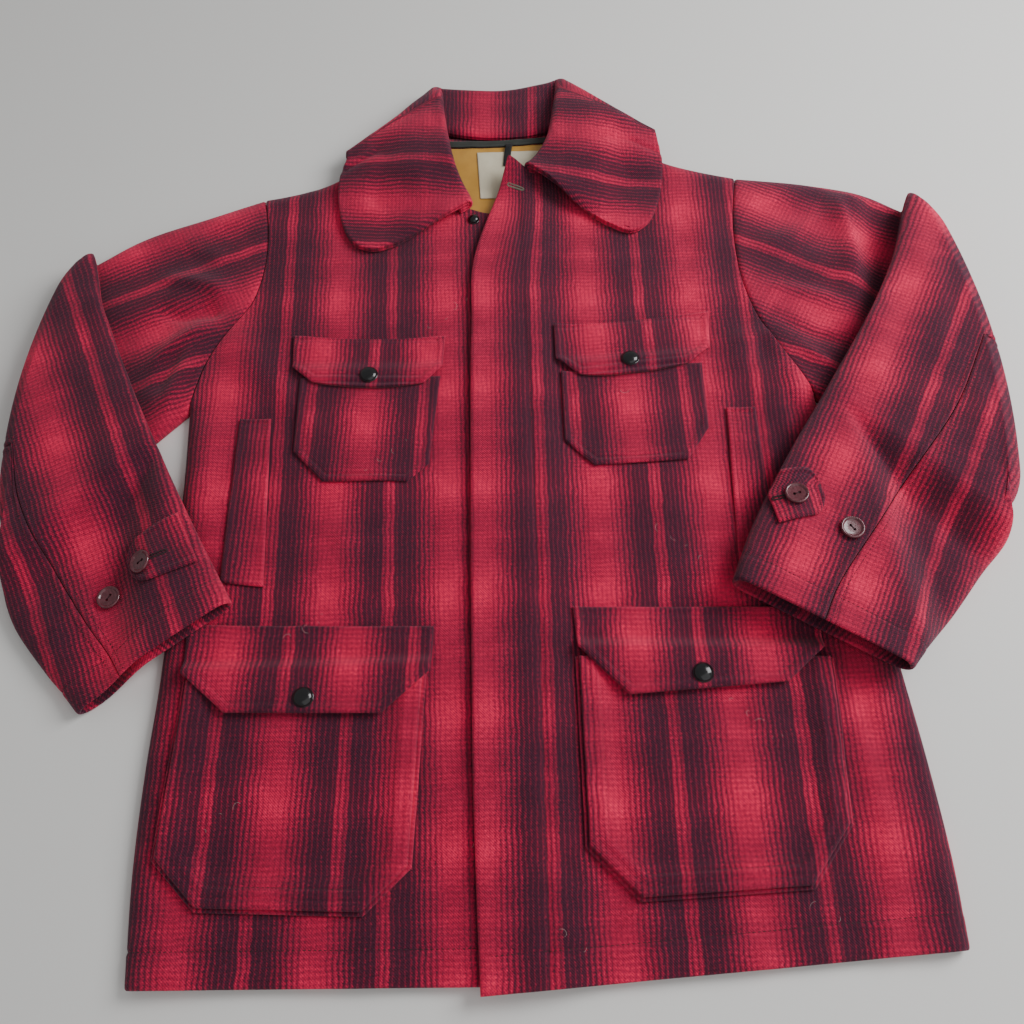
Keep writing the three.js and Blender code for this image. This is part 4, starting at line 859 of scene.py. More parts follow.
# The stations along a sleeve: shoulder to crease, over the crease, and back down the forearm
def sleeveRows(side, armSteps, turnSteps, foreSteps):
    arm, fore = upperArms[side], forearms[side]
    at = np.linspace(0, 3, armSteps)
    t = np.linspace(0, 1, turnSteps + 2)[1:-1]
    back = np.unique(np.concatenate([np.linspace(0, 5, foreSteps), [4.72, 4.75, 4.78, 4.965, 4.985]]))
    parts = [rowAt(arm, at), {k: mix(arm[k][-1], fore[k][0], t) for k in arm}, rowAt(fore, back)]
    parts[1]["above"] = mix(armUpperRise, fore["above"][0], t)
    parts[1]["below"] = mix(arm["below"][0], fore["below"][0], t)
    parts[0]["corner"] = smoothStep(2.2, 3, at)
    parts[1]["corner"] = 0 * t + 1
    parts[2]["corner"] = 1 - smoothStep(0, 0.7, back)
    row = {k: np.concatenate([part[k] for part in parts])[:, None] for k in parts[0]}
    turn = np.concatenate([0 * at, t * math.pi, 0 * back + math.pi])[:, None]
    fade = np.concatenate([np.maximum(1 - at, 0) ** 1.5, 0 * t, 0 * back])[:, None]
    return row, turn, fade


def sleevePoints(side, row, turn, fade, p, inset):
    over = p <= 0.5
    s = np.where(over, p * 2, 2 - p * 2)
    planX, planY = ringPlan(side, row, s, fade)
    width = np.hypot(row["bX"] - row["aX"], row["bY"] - row["aY"])
    reach = np.minimum(s, 1 - s) * width
    flat, fore = turn <= 0, turn >= math.pi
    rolled = roundOff(reach, armRoll)
    above = np.where(flat, rollRise(reach, flatRise, puffRise, rollWidth), row["above"] * rolled)
    below = row["below"] * np.where(flat, roundOff(reach, np.maximum(row["below"], 3.2)), rolled)
    full = np.where(over, above, below)
    run = np.minimum(reach / 20, 1)
    planX = planX - outward[side] * cornerPull * row["corner"] * (1 - roundOff(reach, cornerReach))
    toward = np.where(s < 0.5, 1, -1) * inset * np.maximum(1 - reach / armRoll, 0)
    x = planX + toward * (row["bX"] - row["aX"]) / width
    y = planY + toward * (row["bY"] - row["aY"]) / width
    kept = np.maximum(full - inset, np.minimum(full, 0.15)) if inset else full
    armRelief = (foldRise(sleeveFolds[side], planX, planY)
                 + creases(sleeveCreases[side]["arm"], planX, planY) + waves(planX, planY))
    relief = np.where(flat & over, armRelief * run * (1 - fade ** 2), 0)
    puff = forePuff * roundOff(reach, forePuffReach)
    foreRelief = puff + (creases(sleeveCreases[side]["fore"], x, y) + waves(x, y)) * run
    height = np.where(over, kept + relief, -kept - np.where(fore & ~over, foreRelief, 0))
    low = upperArms[side]["below"][0]
    radius = (forearms[side]["lift"][0] + forearms[side]["above"][0] - low) / 2
    bulge = mix(cornerBulge, 1, roundOff(reach, cornerReach))
    turnX = x + outward[side] * (radius - height) * np.sin(turn) * bulge
    turnZ = low + radius - (radius - height) * np.cos(turn)
    lifted = row["lift"] + foldRise(sleeveFolds[side], x, y) * 0.9
    lift = mix(floorClear, lifted, held(side, x, y))
    z = np.where(flat, low + height, np.where(fore, lift + row["above"] - height, turnZ))
    return grid(np.where(flat | fore, x, turnX), y, z)


# The grain of each sleeve: the way its warp runs on the upper arm and on the forearm, in degrees
# below level, and where a bright crossing falls from the outer edge, for both parts; its stitching
sleeveLooks = {
    "right": {"arm": 27, "fore": 66, "armAt": (8, 145), "foreAt": {"upper": 180, "under": 75},
              "foreAlong": 103, "cuffStitch": 24, "seamStitch": 6},
    "left": {"arm": 27, "fore": 64, "armAt": (25, 40), "foreAt": {"upper": 180, "under": 28},
             "foreAlong": 118, "cuffStitch": 24, "seamStitch": 6},
}
turnRadius = 12


def sleevePlaid(side, part, row, turn, fade, p):
    look = sleeveLooks[side]
    upperFace = p <= 0.5
    s = np.where(upperFace, p * 2, 2 - p * 2)
    x, y = ringPlan(side, row, s, fade)
    endX, endY = ringPlan(side, row, np.ones(np.shape(s)), fade)
    reach = outward[side] * turnRadius * np.where(turn < math.pi / 2, turn, math.pi - turn)
    x, endX = x + reach, endX + reach
    maps = []
    for start, angle, way, outerFace in ((upperArms[side], look["arm"], outward[side], upperFace),
                                         (forearms[side], look["fore"], -outward[side], ~upperFace)):
        dx, dy = way * math.cos(math.radians(angle)), -math.sin(math.radians(angle))
        fromX, fromY = start["aX"][0], start["aY"][0]
        sign = -1 if (dx * (start["bY"][0] - fromY) - dy * (start["bX"][0] - fromX)) < 0 else 1

        def across(px, py):
            return sign * (dx * (py - fromY) - dy * (px - fromX))

        off = across(x, y)
        # the other face lies beyond the lower edge, so its distance runs on past it
        off = np.where(outerFace, off, 2 * across(endX, endY) - off)
        maps.append((off, (x - fromX) * dx + (y - fromY) * dy))
    arm, fore = maps
    onArm = turn < math.pi / 2
    u = np.where(onArm, arm[0] - look["armAt"][0], fore[0] - look["foreAt"][part])
    v = np.where(onArm, arm[1] - look["armAt"][1], fore[1] - look["foreAlong"])
    return np.stack(np.broadcast_arrays(u, v), -1)


def buildSleeve(side):
    look = sleeveLooks[side]
    seamAt = hindSeam[side]
    row, turn, fade = sleeveRows(side, 62, 11, 104)
    close = np.array([0.0005, 0.002, 0.005, 0.009, 0.014, 0.02, 0.028, 0.038])
    atSeam = np.array([0.00075, 0.003, 0.006, 0.009, 0.012])
    back = np.linspace(0.548, 0.952, 52)
    around = {
        "upper": np.concatenate([
            [0.00025], close, np.linspace(0.048, 0.452, 52), 0.5 - close[::-1], [0.5], 0.5 + close,
            back[back < seamAt - 0.015], seamAt - atSeam[::-1]]),
        "under": np.concatenate([
            seamAt + atSeam, back[back > seamAt + 0.015], 1 - close[::-1], [0.99975]]),
    }
    faces = {}
    for part, p in around.items():
        p = p[None, :]
        outer, inner = (sleevePoints(side, row, turn, fade, p, inset) for inset in (0, wool))
        for face in (outer, inner):
            face[0, :, 0] += outward[side] * armholeGap
        distances = sideDistances(outer)
        seamEdge = "end" if part == "upper" else "start"
        stitched = {"head": [look["cuffStitch"]], seamEdge: [look["seamStitch"]]}
        outer, inner = dressed(outer, inner, distances, stitched, swell=0.4, dent=0.7)
        outer[..., 2] = np.maximum(outer[..., 2], 0)
        for edge, places in stitched.items():
            sewWall(outer, inner, distances, edge, places[0])
        uv = sleevePlaid(side, part, row, turn, fade, p)
        wall(f"sleeve_{side}_{part}", outer, inner, "plaid_wool", uv)
        faces[part] = outer
    return faces


buildBack()
for side in bothSides:
    buildFront(side)
buildFly()
sleeves = {side: buildSleeve(side) for side in bothSides}
print("body and sleeves made")


# The collar's sections, from the right front's leaf round the back of the neck to the left one.
# turn is 0 where the fall lies over the stand and 180 where it lies under it.
collarRows = table("seamX seamY seamZ rollX rollY rise edgeX edgeY edgeZ turn", [
    [-51, 323, 13, -41.5, 329, 0, -112, 283, 13, 0], [-55, 329, 13, -43, 334, 0, -134, 275, 13, 0],
    [-61, 339, 13, -46, 342, 0, -154, 282, 13, 0], [-70, 354, 14, -53, 356, 0, -167, 305, 13, 0],
    [-79, 374, 16, -60, 374, 0, -173, 338, 13, 0], [-86, 396, 19, -66, 400, 0, -172, 366, 14, 0],
    [-89, 414, 19, -72, 438, 0, -167, 386, 14.5, 6], [-87, 427, 18, -76, 470, 0, -168, 393, 12, 45],
    [-82, 431, 15.5, -79, 486, 0, -168, 396, 8.5, 90], [-72, 428, 13.6, -75, 488, 1, -152, 398, 4.6, 140],
    [-56, 424, 13, -62, 487, 2, -116, 404, 3.2, 176], [-36, 421, 12.9, -38, 484, 3, -64, 407, 3, 180],
    [-14, 420, 12.9, -12, 484, 3, -14, 409, 3, 180], [12, 422, 12.9, 12, 488, 3, 32, 412, 3, 180],
    [32, 427, 13, 36, 496, 2, 88, 418, 3.2, 176], [48, 433, 13.6, 47, 501, 1, 128, 424, 4.6, 140],
    [58, 440, 15.5, 50, 499, 0, 145, 429, 8.5, 90], [64, 438, 18, 49, 484, 0, 147, 423, 12, 45],
    [66, 426, 19, 45, 450, 0, 149, 410, 14.5, 6], [62, 410, 19, 40, 416, 0, 152, 390, 14, 0],
    [54, 396, 18, 35, 399, 0, 151, 362, 13, 0], [46, 386, 19, 29, 388, 0, 146, 336, 13, 0],
    [38, 378, 19, 23, 379, 0, 135, 310, 13, 0], [31, 371, 19, 18, 373, 0, 116, 298, 13, 0],
    [26, 366, 19, 14, 369, 0, 92, 309, 13, 0]])
leafRadius, backRadius, collarBack, plySlack = 3.7, 4.9, 12, 0.1
fallHold, fallHoldMost, fallEase = 6, 0.7, 0.6
plyClear = wool + seamGap / 2 + plySlack + layGap
collarLook = {"edgeStitch": 9, "ripple": 0.7, "calm": 14, "rightLeaf": (-134, 330), "leftLeaf": (100, 309),
              "tilt": 0.06, "leafTurn": 30, "back": -28.7}
collarCreases = table(creaseColumns, [
    [-150, 380, -80, 372, 14, 0.6, 4, 1.0], [-160, 330, -100, 300, 12, 0.6, -4, 0.9],
    [142, 400, 74, 392, 14, 0.6, -4, 1.1], [150, 350, 96, 320, 13, 0.6, 4, 1.0],
    [-70, 460, 40, 470, 12, 0.7, 6, 0.8]])


def unit(x, y):
    length = np.hypot(x, y)
    return x / length, y / length


# The highest point of a surface within a short reach
def settled(height, reach):
    near = ((0, 0), (reach, 0), (-reach, 0), (0, reach), (0, -reach))
    return lambda x, y: np.maximum.reduce([height(x + dx, y + dy) for dx, dy in near])


# The surface between the collar's plies: stand, half-round turn and fall
def collarMiddle(v, stations):
    row = {k: values[:, None] for k, values in rowAt(collarRows, v).items()}
    angle = np.radians(row["turn"])
    overFront = 1 - smoothStep(20, 80, row["turn"])
    rightHalf = (v < collarBack)[:, None]
    under = {side: settled(lambda x, y, side=side: frontHeight(side, x, y), 5) for side in bothSides}

    def clear(x, y, z):
        front = np.where(rightHalf, under["right"](x, y), under["left"](x, y))
        return np.maximum(z, mix(z, front + plyClear, overFront))

    radius = mix(leafRadius, backRadius, smoothStep(0, 180, row["turn"]))
    toSeam = unit(row["seamX"] - row["rollX"], row["seamY"] - row["rollY"])
    toEdge = unit(row["edgeX"] - row["rollX"], row["edgeY"] - row["rollY"])
    into = unit(toSeam[0] + toEdge[0], toSeam[1] + toEdge[1])
    flip = np.where(rightHalf, 1, -1)
    outX, outY = into[1] * flip, -into[0] * flip
    seamZ = clear(row["seamX"], row["seamY"], row["seamZ"])
    edgeZ = clear(row["edgeX"], row["edgeY"], row["edgeZ"])

    def turnAt(theta):
        apart, reach = -radius * np.cos(theta), radius * (1 - np.sin(theta))
        return [row["rollX"] + into[0] * reach + outX * apart * np.sin(angle),
                row["rollY"] + into[1] * reach + outY * apart * np.sin(angle),
                seamZ + row["rise"] + (radius + apart) * np.cos(angle)]

    parts = []
    for kind, t in stations:
        t = t[None, :]
        if kind == "turn":
            parts.append(grid(*turnAt(t * math.pi)))
        elif kind == "stand":
            seam = (row["seamX"], row["seamY"], seamZ)
            parts.append(grid(*[mix(a, b, t) for a, b in zip(seam, turnAt(0))]))
        else:
            start = turnAt(math.pi)
            length = np.hypot(row["edgeX"] - start[0], row["edgeY"] - start[1])
            stand = np.hypot(row["seamX"] - row["rollX"], row["seamY"] - row["rollY"])
            hold = np.minimum((stand + fallHold) / length, fallHoldMost) * overFront
            x, y = mix(start[0], row["edgeX"], t), mix(start[1], row["edgeY"], t)
            z = mix(start[2], edgeZ, smoothStep(hold, np.minimum(hold + fallEase, 1), t))
            parts.append(grid(x, y, clear(x, y, z)))
    return np.concatenate(parts, 1)


def buildCollar():
    look = collarLook
    v = np.unique(np.concatenate([np.linspace(0, 24, 215), [0.06, 0.15, 23.85, 23.94]]))
    fall = np.unique(np.concatenate([np.linspace(0.02, 1, 34), [0.9, 0.92, 0.94, 0.975, 0.99]]))
    stations = [("stand", np.linspace(0, 0.92, 9)), ("turn", np.linspace(0, 1, 13)), ("fall", fall)]
    middle = collarMiddle(v, stations)
    normal = facing(middle)
    distances = sideDistances(middle)
    calm = np.minimum(np.minimum(distances["end"], distances["start"]) / look["calm"], 1)
    x, y = middle[..., 0], middle[..., 1]
    ripple = (creases(collarCreases, x, y) + look["ripple"] * waves(x * 1.6, y * 1.6)) * calm
    lift = grid(0 * x, 0 * x, np.maximum(ripple, -0.2))
    near = seamGap / 2 + plySlack
    far = near + wool
    stitched = {edge: [look["edgeStitch"]] for edge in ("end", "foot", "head")}
    onLeaf = (rowAt(collarRows, v)["turn"] < look["leafTurn"])[:, None]
    rightHalf = (v < collarBack)[:, None]
    x0, y0 = (np.where(rightHalf, *pair) for pair in zip(look["rightLeaf"], look["leftLeaf"]))
    u = np.where(onLeaf, y - y0 + look["tilt"] * (x - x0), x - look["back"])
    uv = np.stack([u, np.where(onLeaf, x - x0, distances["start"])], -1)
    for name, low, high in (("collar_top_cloth", near, far), ("collar_under_cloth", -near, -far)):
        outer, inner = middle + normal * high + lift, middle + normal * low + lift
        outer[..., 2], inner[..., 2] = np.maximum(outer[..., 2], 0), np.maximum(inner[..., 2], 0)
        outer, inner = dressed(outer, inner, distances, stitched if high > 0 else (), swell=0.5, dent=0.8)
        if high > 0:
            for edge, places in stitched.items():
                sewWall(outer, inner, distances, edge, places[0])
        wall(name, outer, inner, "plaid_wool", uv)


# Patches on the fronts: rows of a left and a right end from the lower edge up, and a sag
patchColumns = "leftX leftY rightX rightY sag"
patches = {
    "chest_pocket_right": table(patchColumns, [
        [-165, 24, -91, 24, 0], [-193, 53, -73, 42, 0], [-193.4, 129, -65.5, 132, 0]]),
    "chest_pocket_left": table(patchColumns, [
        [72, 39.6, 155, 45.5, 0], [46.7, 64.5, 175.5, 77.7, 0], [44.7, 136.4, 175, 147, 0]]),
    "chest_flap_right": table(patchColumns, [
        [-182, 123, -80, 123, 5], [-201.5, 140, -64, 141, 2], [-203.7, 175.6, -62, 175.6, 4]]),
    "chest_flap_left": table(patchColumns, [
        [62, 132, 163, 145, 5], [40, 149, 184, 165, 2], [39, 188, 185.7, 204, 4]]),
    "hip_pocket_right": table(patchColumns, [
        [-229, -322, -109, -324.6, 0], [-262.5, -288, -76.6, -293, 0], [-257, -154.5, -71.2, -148, 0]]),
    "hip_pocket_left": table(patchColumns, [
        [94.4, -314.6, 219.4, -306.4, 0], [57.4, -279, 252.5, -262.5, 0], [53.4, -134, 254.6, -134, 0]]),
    "hip_flap_right": table(patchColumns, [
        [-224, -181, -102, -181, 0], [-261, -150, -64.6, -146, 0], [-263, -108, -63.6, -108, 0]]),
    "hip_flap_left": table(patchColumns, [
        [92, -166, 218, -155.6, 0], [52.6, -127, 250, -127, 0], [49.5, -91.7, 252, -91, 0]]),
    "hand_welt_right": table(patchColumns, [[-241.8, -71.2, -206, -73.9, 0], [-243.5, 86, -216, 87, 0]]),
    "hand_welt_left": table(patchColumns, [[190, -69.4, 225, -67, 0], [193, 98.5, 219, 98.5, 0]]),
    "back_neck_lining": table(patchColumns, [
        [-76, 300, 70, 300, 0], [-96, 360, 84, 368, 0], [-74, 408, 52, 418, 3]]),
    "label_blank": table(patchColumns, [[-32, 347, 29, 348, 0], [-36, 402, 32, 405, 0]]),
    "neck_binding": table(patchColumns, [[-70, 409.5, 50, 418.5, 3.4], [-70, 417, 49, 425, 3]]),
    "hanger_loop": table(patchColumns, [
        [-9, 384, -2, 384, 0], [-8, 400, -1, 400, 0], [-6, 413, 1, 413, 0]]),
}
gussetWidth, gussetShow, gussetFade = 11, 3, 2.4
flapOverhang = (5, 18)
tops = {}


def patchPlan(rows, u, v):
    last = len(rows["sag"]) - 1
    at = v * last
    row = {k: np.interp(at, np.arange(last + 1), values) for k, values in rows.items()}
    bend = row["sag"] * (1 - (2 * u - 1) ** 2)
    return mix(row["leftX"], row["rightX"], u), mix(row["leftY"], row["rightY"], u) - bend


# Down the left side, along the lower edge and up the right side
def patchOutline(rows):
    left = list(zip(rows["leftX"], rows["leftY"]))[::-1]
    return left + list(zip(rows["rightX"], rows["rightY"]))


# Each patch's look: rows of stitching in from its open edges, how its edge swells, its mesh pitch,
# and the row below its upper edge; then how deep and wide every row is pressed in
patchLooks = {
    "chest_pocket": {"stitch": (6.5,), "swell": 0.5, "pitch": 1.9, "top": 0},
    "chest_flap": {"stitch": (7,), "swell": 0.7, "pitch": 1.9, "top": 5},
    "hip_pocket": {"stitch": (7, 15), "swell": 0.6, "pitch": 2.2, "top": 0},
    "hip_flap": {"stitch": (7.5,), "swell": 0.7, "pitch": 2.1, "top": 6},
    "hand_welt": {"stitch": (5,), "swell": 0.4, "pitch": 2.0, "top": 5},
}
patchDent, patchDentWidth, patchRim = 0.75, 1.2, 1.6


def pressed(off):
    return -patchDent * np.exp(-(off / patchDentWidth) ** 2)


def buildPatch(name, base, material="plaid_wool", thickness=wool, look=None):
    rows = patches[name]
    pitch = look["pitch"] if look else 2.0
    width = max(rows["rightX"] - rows["leftX"])
    height = max(rows["leftY"][-1] - rows["leftY"][0], rows["rightY"][-1] - rows["rightY"][0])
    u = steps(width, pitch)[None, :]
    corners = np.linspace(0, 1, 2 * len(rows["sag"]) - 1)
    v = np.unique(np.concatenate([steps(height, pitch), corners]))[:, None]
    x, y = patchPlan(rows, u, v)
    outline = patchOutline(rows)
    openEdge = nearest(x, y, outline)[0]
    head = nearest(x, y, [outline[0], outline[-1]])[0]
    rim = np.minimum(openEdge, head)
    relief = 0 * x
    if look:
        for place in look["stitch"]:
            relief += pressed(openEdge - place)
        fade = 1 - smoothStep(look["stitch"][-1] - 2, look["stitch"][-1] + 2, openEdge)
        relief += look["swell"] * smoothStep(0.3, 2.5, openEdge) * fade
        if look["top"]:
            relief += pressed(head - look["top"])
        relief *= np.minimum(rim / 3, 1)
    middle, half = base(x, y) + thickness / 2, thickness / 2 * roundRim(rim, patchRim)
    outer, inner = grid(x, y, middle + half + relief), grid(x, y, middle - half)
    uv = plaidOn(name, outer) if name in plaidPlaces else outer[..., :2].copy()
    wall(f"{name}_cloth", outer, inner, material, uv)
    tops[name] = lambda px, py: base(px, py) + thickness


def overPocket(rows, x, y):
    ends = [[rows[f"{end}{k}"][-1] for end in ("left", "right")] for k in "XY"]
    edge = np.interp(x, *ends)
    return 1 - smoothStep(edge + flapOverhang[0], edge + flapOverhang[1], y)


# The way out at each corner of an open line, long enough to keep its sides parallel
def miters(line):
    way = unitAlong(np.diff(line, axis=0))
    before, after = np.concatenate([way[:1], way]), np.concatenate([way, way[-1:]])
    total = unitAlong(before + after)
    return np.stack([-total[:, 1], total[:, 0]], 1) * (1 / (before * total).sum(1, keepdims=True))


# The narrow strip that stands a hip pocket off the front
def buildGusset(name, rows, onFront):
    line = np.array(patchOutline(rows))
    at = np.arange(len(line))
    t = np.concatenate([i + np.linspace(0, 1, 40, endpoint=False) for i in at[:-1]] + [at[-1:]])
    points, normals = (np.stack([np.interp(t, at, ends[:, k]) for k in (0, 1)], 1)
                       for ends in (line, miters(line)))
    inset = np.array([0, 0.7, 1.7, 3.2, 5, 7.8, 9.3, 10.3, gussetWidth]) - gussetShow
    x, y = (points[:, k:k + 1] + normals[:, k:k + 1] * inset for k in (0, 1))
    inner = grid(x, y, onFront(x, y))
    outer = inner + np.array([0, 0, wool])
    outer, inner = dressed(outer, inner, sideDistances(outer), {"start": [2.2]}, swell=0, dent=0.3)
    wall(f"{name}_cloth", outer, inner, "plaid_wool", plaidOn(name, outer))


def buildPockets(side):
    hip = patches[f"hip_pocket_{side}"]
    stand = wool + layGap

    def onFront(x, y):
        return frontHeight(side, x, y) + layGap

    def onGusset(x, y):
        off = nearest(x, y, patchOutline(hip))[0]
        held = 1 - smoothStep(gussetWidth, gussetWidth * gussetFade, off)
        return onFront(x, y) + stand * held + seamGap

    def onPocket(kind, rise):
        rows = patches[f"{kind}_pocket_{side}"]
        return lambda x, y: onFront(x, y) + rise * overPocket(rows, x, y) + 0.3

    for kind, base in (("chest_pocket", onFront), ("chest_flap", onPocket("chest", stand)),
                       ("hip_pocket", onGusset), ("hip_flap", onPocket("hip", stand * 2 + layGap)),
                       ("hand_welt", onFront)):
        if kind == "hip_pocket":
            buildGusset(f"hip_gusset_{side}", hip, onFront)
        buildPatch(f"{kind}_{side}", base, look=patchLooks[kind])


# Inside the neck: lining, label, binding and hanger loop, each just clear of what it lies on
def buildNeck():
    def onBack(x, y):
        return neckRise(x, y) + wool + layGap + 0.5

    def spanned(name, x, y):
        rows = patches[name]
        xs = [rows["leftX"].min(), rows["rightX"].max()]
        ys = [rows["leftY"].min(), max(rows["leftY"].max(), rows["rightY"].max())]
        return (smoothStep(xs[0] - 8, xs[0] - 1, x) * (1 - smoothStep(xs[1] + 1, xs[1] + 8, x))
                * smoothStep(ys[0] - 8, ys[0] - 1, y) * (1 - smoothStep(ys[1] + 1, ys[1] + 8, y)))

    def lining(x, y):
        ripple = 0.35 * np.sin(x * 0.13 + 0.8 * np.sin(y * 0.05))
        ripple = ripple + 0.25 * np.sin(x * 0.31 - y * 0.09 + 1.0)
        return onBack(x, y) + ripple * 0.6

    def onLining(x, y):
        return lining(x, y) + satin + seamGap + 0.15

    def onTrim(x, y):
        return onLining(x, y) + (satin + seamGap) * spanned("label_blank", x, y) + (
            tape + seamGap) * spanned("neck_binding", x, y)

    buildPatch("back_neck_lining", lining, "satin_lining", satin)
    buildPatch("label_blank", onLining, "label_cloth", satin * 0.8)
    buildPatch("neck_binding", onLining, "dark_binding", tape)
    buildPatch("hanger_loop", onTrim, "black_tape", tape)


# Height of the topmost cloth of a sleeve's grids over a point
def sleeveTop(side, x, y):
    best = -1.0
    for points in sleeves[side].values():
        near = np.hypot(points[..., 0] - x, points[..., 1] - y) < 2.6
        if near.any():
            best = max(best, points[..., 2][near].max())
    return best


# Cuff tabs: the root's middle, where it points, its length and half width
cuffTabs = {
    "right": {"x": -267, "y": -38, "toX": -313, "toY": -62, "length": 54, "half": 25},
    "left": {"x": 214, "y": -5, "toX": 262, "toY": 4, "length": 46, "half": 25},
}
tabTaper, pointFrom, pointLength = 0.12, 0.7, 0.31
tabLook = {"pitch": 1.7, "stitch": 6.5, "dent": 0.7, "swell": 0.5, "mapFrom": (12, -6)}


def buildTab(side):
    tab, look = cuffTabs[side], tabLook
    alongX, alongY = unit(tab["toX"] - tab["x"], tab["toY"] - tab["y"])
    t = np.unique(np.concatenate([steps(tab["length"], look["pitch"]), [0.955, 0.975, 0.99]]))[:, None]
    across = (steps(2 * tab["half"], look["pitch"]) * 2 - 1)[None, :]
    past = np.maximum(t - pointFrom, 0) / pointLength
    half = tab["half"] * (1 - tabTaper * t) * np.sqrt(np.maximum(1 - past ** 2, 0.0))

    def placed(reach, off):
        return tab["x"] + alongX * reach - alongY * off, tab["y"] + alongY * reach + alongX * off

    roots = np.zeros(across.shape[1])
    for i, a in enumerate(across[0]):
        while roots[i] < tab["length"] / 2 and min(
                sleeveTop(side, *placed(roots[i] - 3, tab["half"] * a)),
                sleeveTop(side, *placed(roots[i], tab["half"] * a))) < 0:
            roots[i] += 1
    x, y = placed(mix(roots[None, :], tab["length"], t), half * across)
    z = np.array([[sleeveTop(side, px, py) for px, py in zip(rx, ry)] for rx, ry in zip(x, y)])
    z = smoothed(z, 3) + layGap + 0.3
    middle = grid(x, y, z + wool / 2)
    distances = sideDistances(middle)
    openEdge = np.minimum(np.minimum(distances["start"], distances["end"]), distances["head"])
    up = np.array([0, 0, wool / 2])
    outer, inner = dressed(middle + up, middle - up, distances)
    relief = (-look["dent"] * np.exp(-((openEdge - look["stitch"]) / patchDentWidth) ** 2)
              + look["swell"] * smoothStep(0.4, 2.5, openEdge) * (1 - smoothStep(4.5, 8, openEdge)))
    outer[..., 2] += relief * np.minimum(openEdge / 3, 1)
    uv = np.stack([distances["foot"] + look["mapFrom"][0], distances["start"] + look["mapFrom"][1]], -1)
    wall(f"cuff_tab_{side}_cloth", outer, inner, "plaid_wool", uv)
    flatX, flatY, flatZ = x.ravel(), y.ravel(), outer[..., 2].ravel()
    tops[f"cuff_tab_{side}"] = lambda px, py: flatZ[np.argmin(np.hypot(flatX - px, flatY - py))]


def smoothed(z, times):
    for _ in range(times):
        padded = np.pad(z, 1, mode="edge")
        z = (padded[:-2, 1:-1] + padded[2:, 1:-1] + padded[1:-1, :-2] + padded[1:-1, 2:] + 4 * z) / 8
    return z


# Eight directions round a place, and the place itself
around = [(0, 0), (1, 0), (-1, 0), (0, 1), (0, -1), (0.7, 0.7), (-0.7, 0.7), (0.7, -0.7), (-0.7, -0.7)]


# A turned solid from a profile of (radius, height), seated on the slope of the cloth below it
def turned(name, profile, place, height, reach, material, segments=64):
    x, y = place
    slopeX = (height(x + reach, y) - height(x - reach, y)) / (2 * reach)
    slopeY = (height(x, y + reach) - height(x, y - reach)) / (2 * reach)
    normal = unitAlong(np.array([-slopeX, -slopeY, 1.0]))
    side = unitAlong(np.cross([0, 1, 0], normal))
    other = np.cross(normal, side)
    z = max(height(x + reach * dx, y + reach * dy) - slopeX * reach * dx - slopeY * reach * dy
            for dx, dy in around)
    base = np.array([x, y, z]) + normal * seamGap
    angle = np.linspace(0, 2 * math.pi, segments, endpoint=False)
    rings = [r * np.cos(angle)[:, None] * side + r * np.sin(angle)[:, None] * other + h * normal
             for r, h in profile if r > 0]
    faces = []
    for i in range(len(rings) - 1):
        for j in range(segments):
            low, after = i * segments, (j + 1) % segments
            faces.append((low + j, low + after, low + segments + after, low + segments + j))
    count = len(rings) * segments
    last = count - segments
    faces += [(count, (j + 1) % segments, j) for j in range(segments)]
    faces += [(count + 1, last + j, last + (j + 1) % segments) for j in range(segments)]
    centres = np.array([profile[0][1] * normal, profile[-1][1] * normal])
    vertices = np.concatenate([*rings, centres]) + base
    mesh = bpy.data.meshes.new(name)
    mesh.from_pydata([tuple(v) for v in (vertices + shift) / 1000], [], faces)
    mesh.update()
    mesh.polygons.foreach_set("use_smooth", np.ones(len(mesh.polygons), bool))
    mesh.materials.append(materials[material])
    made[name] = linked(name, mesh)
    return made[name], base, side, other, normal


def standsFor(piece, node):
    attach(piece, "root")
    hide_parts(node)


snapLook = {"radius": 8.3, "height": 4.6, "rim": 0.9, "neckRadius": 5.6}
buttonLook = {"radius": 10, "height": 3.4, "rim": 2.2, "dish": 1.5, "hole": 1.25, "apart": 2.3,
              "tie": 0.16, "tieApart": 0.3, "tieDepth": 0.9, "sharpFrom": 38}
snapPlaces = {
    "chest_snap_right": (-130.4, 130.6), "chest_snap_left": (108.6, 147.8),
    "hip_snap_right": (-163, -169), "hip_snap_left": (151, -149), "neck_snap": (-38, 317)}
cuffButtons = {
    "right": [(-301, -61, True, 0.5), (-329, -86, False, 1.1)],
    "left": [(236, -4, True, 0.3), (279, -33, False, 2.2)],
}


def buildSnap(name, height, radius):
    rim, high = snapLook["rim"], snapLook["height"]
    dome = [(radius * 0.93 * math.cos(a), rim + (high - rim) * math.sin(a))
            for a in np.linspace(0.05, 1.5, 14)]
    rolled = [(radius, 0.35), (radius, rim - 0.25), (radius * 0.975, rim), (radius * 0.94, rim)]
    profile = [(0, 0), (radius * 0.96, 0), *rolled, *dome, (0, high)]
    piece = turned(f"{name}_cap", profile, snapPlaces[name], height, radius * 0.9, "black_snap")[0]
    standsFor(piece, name)


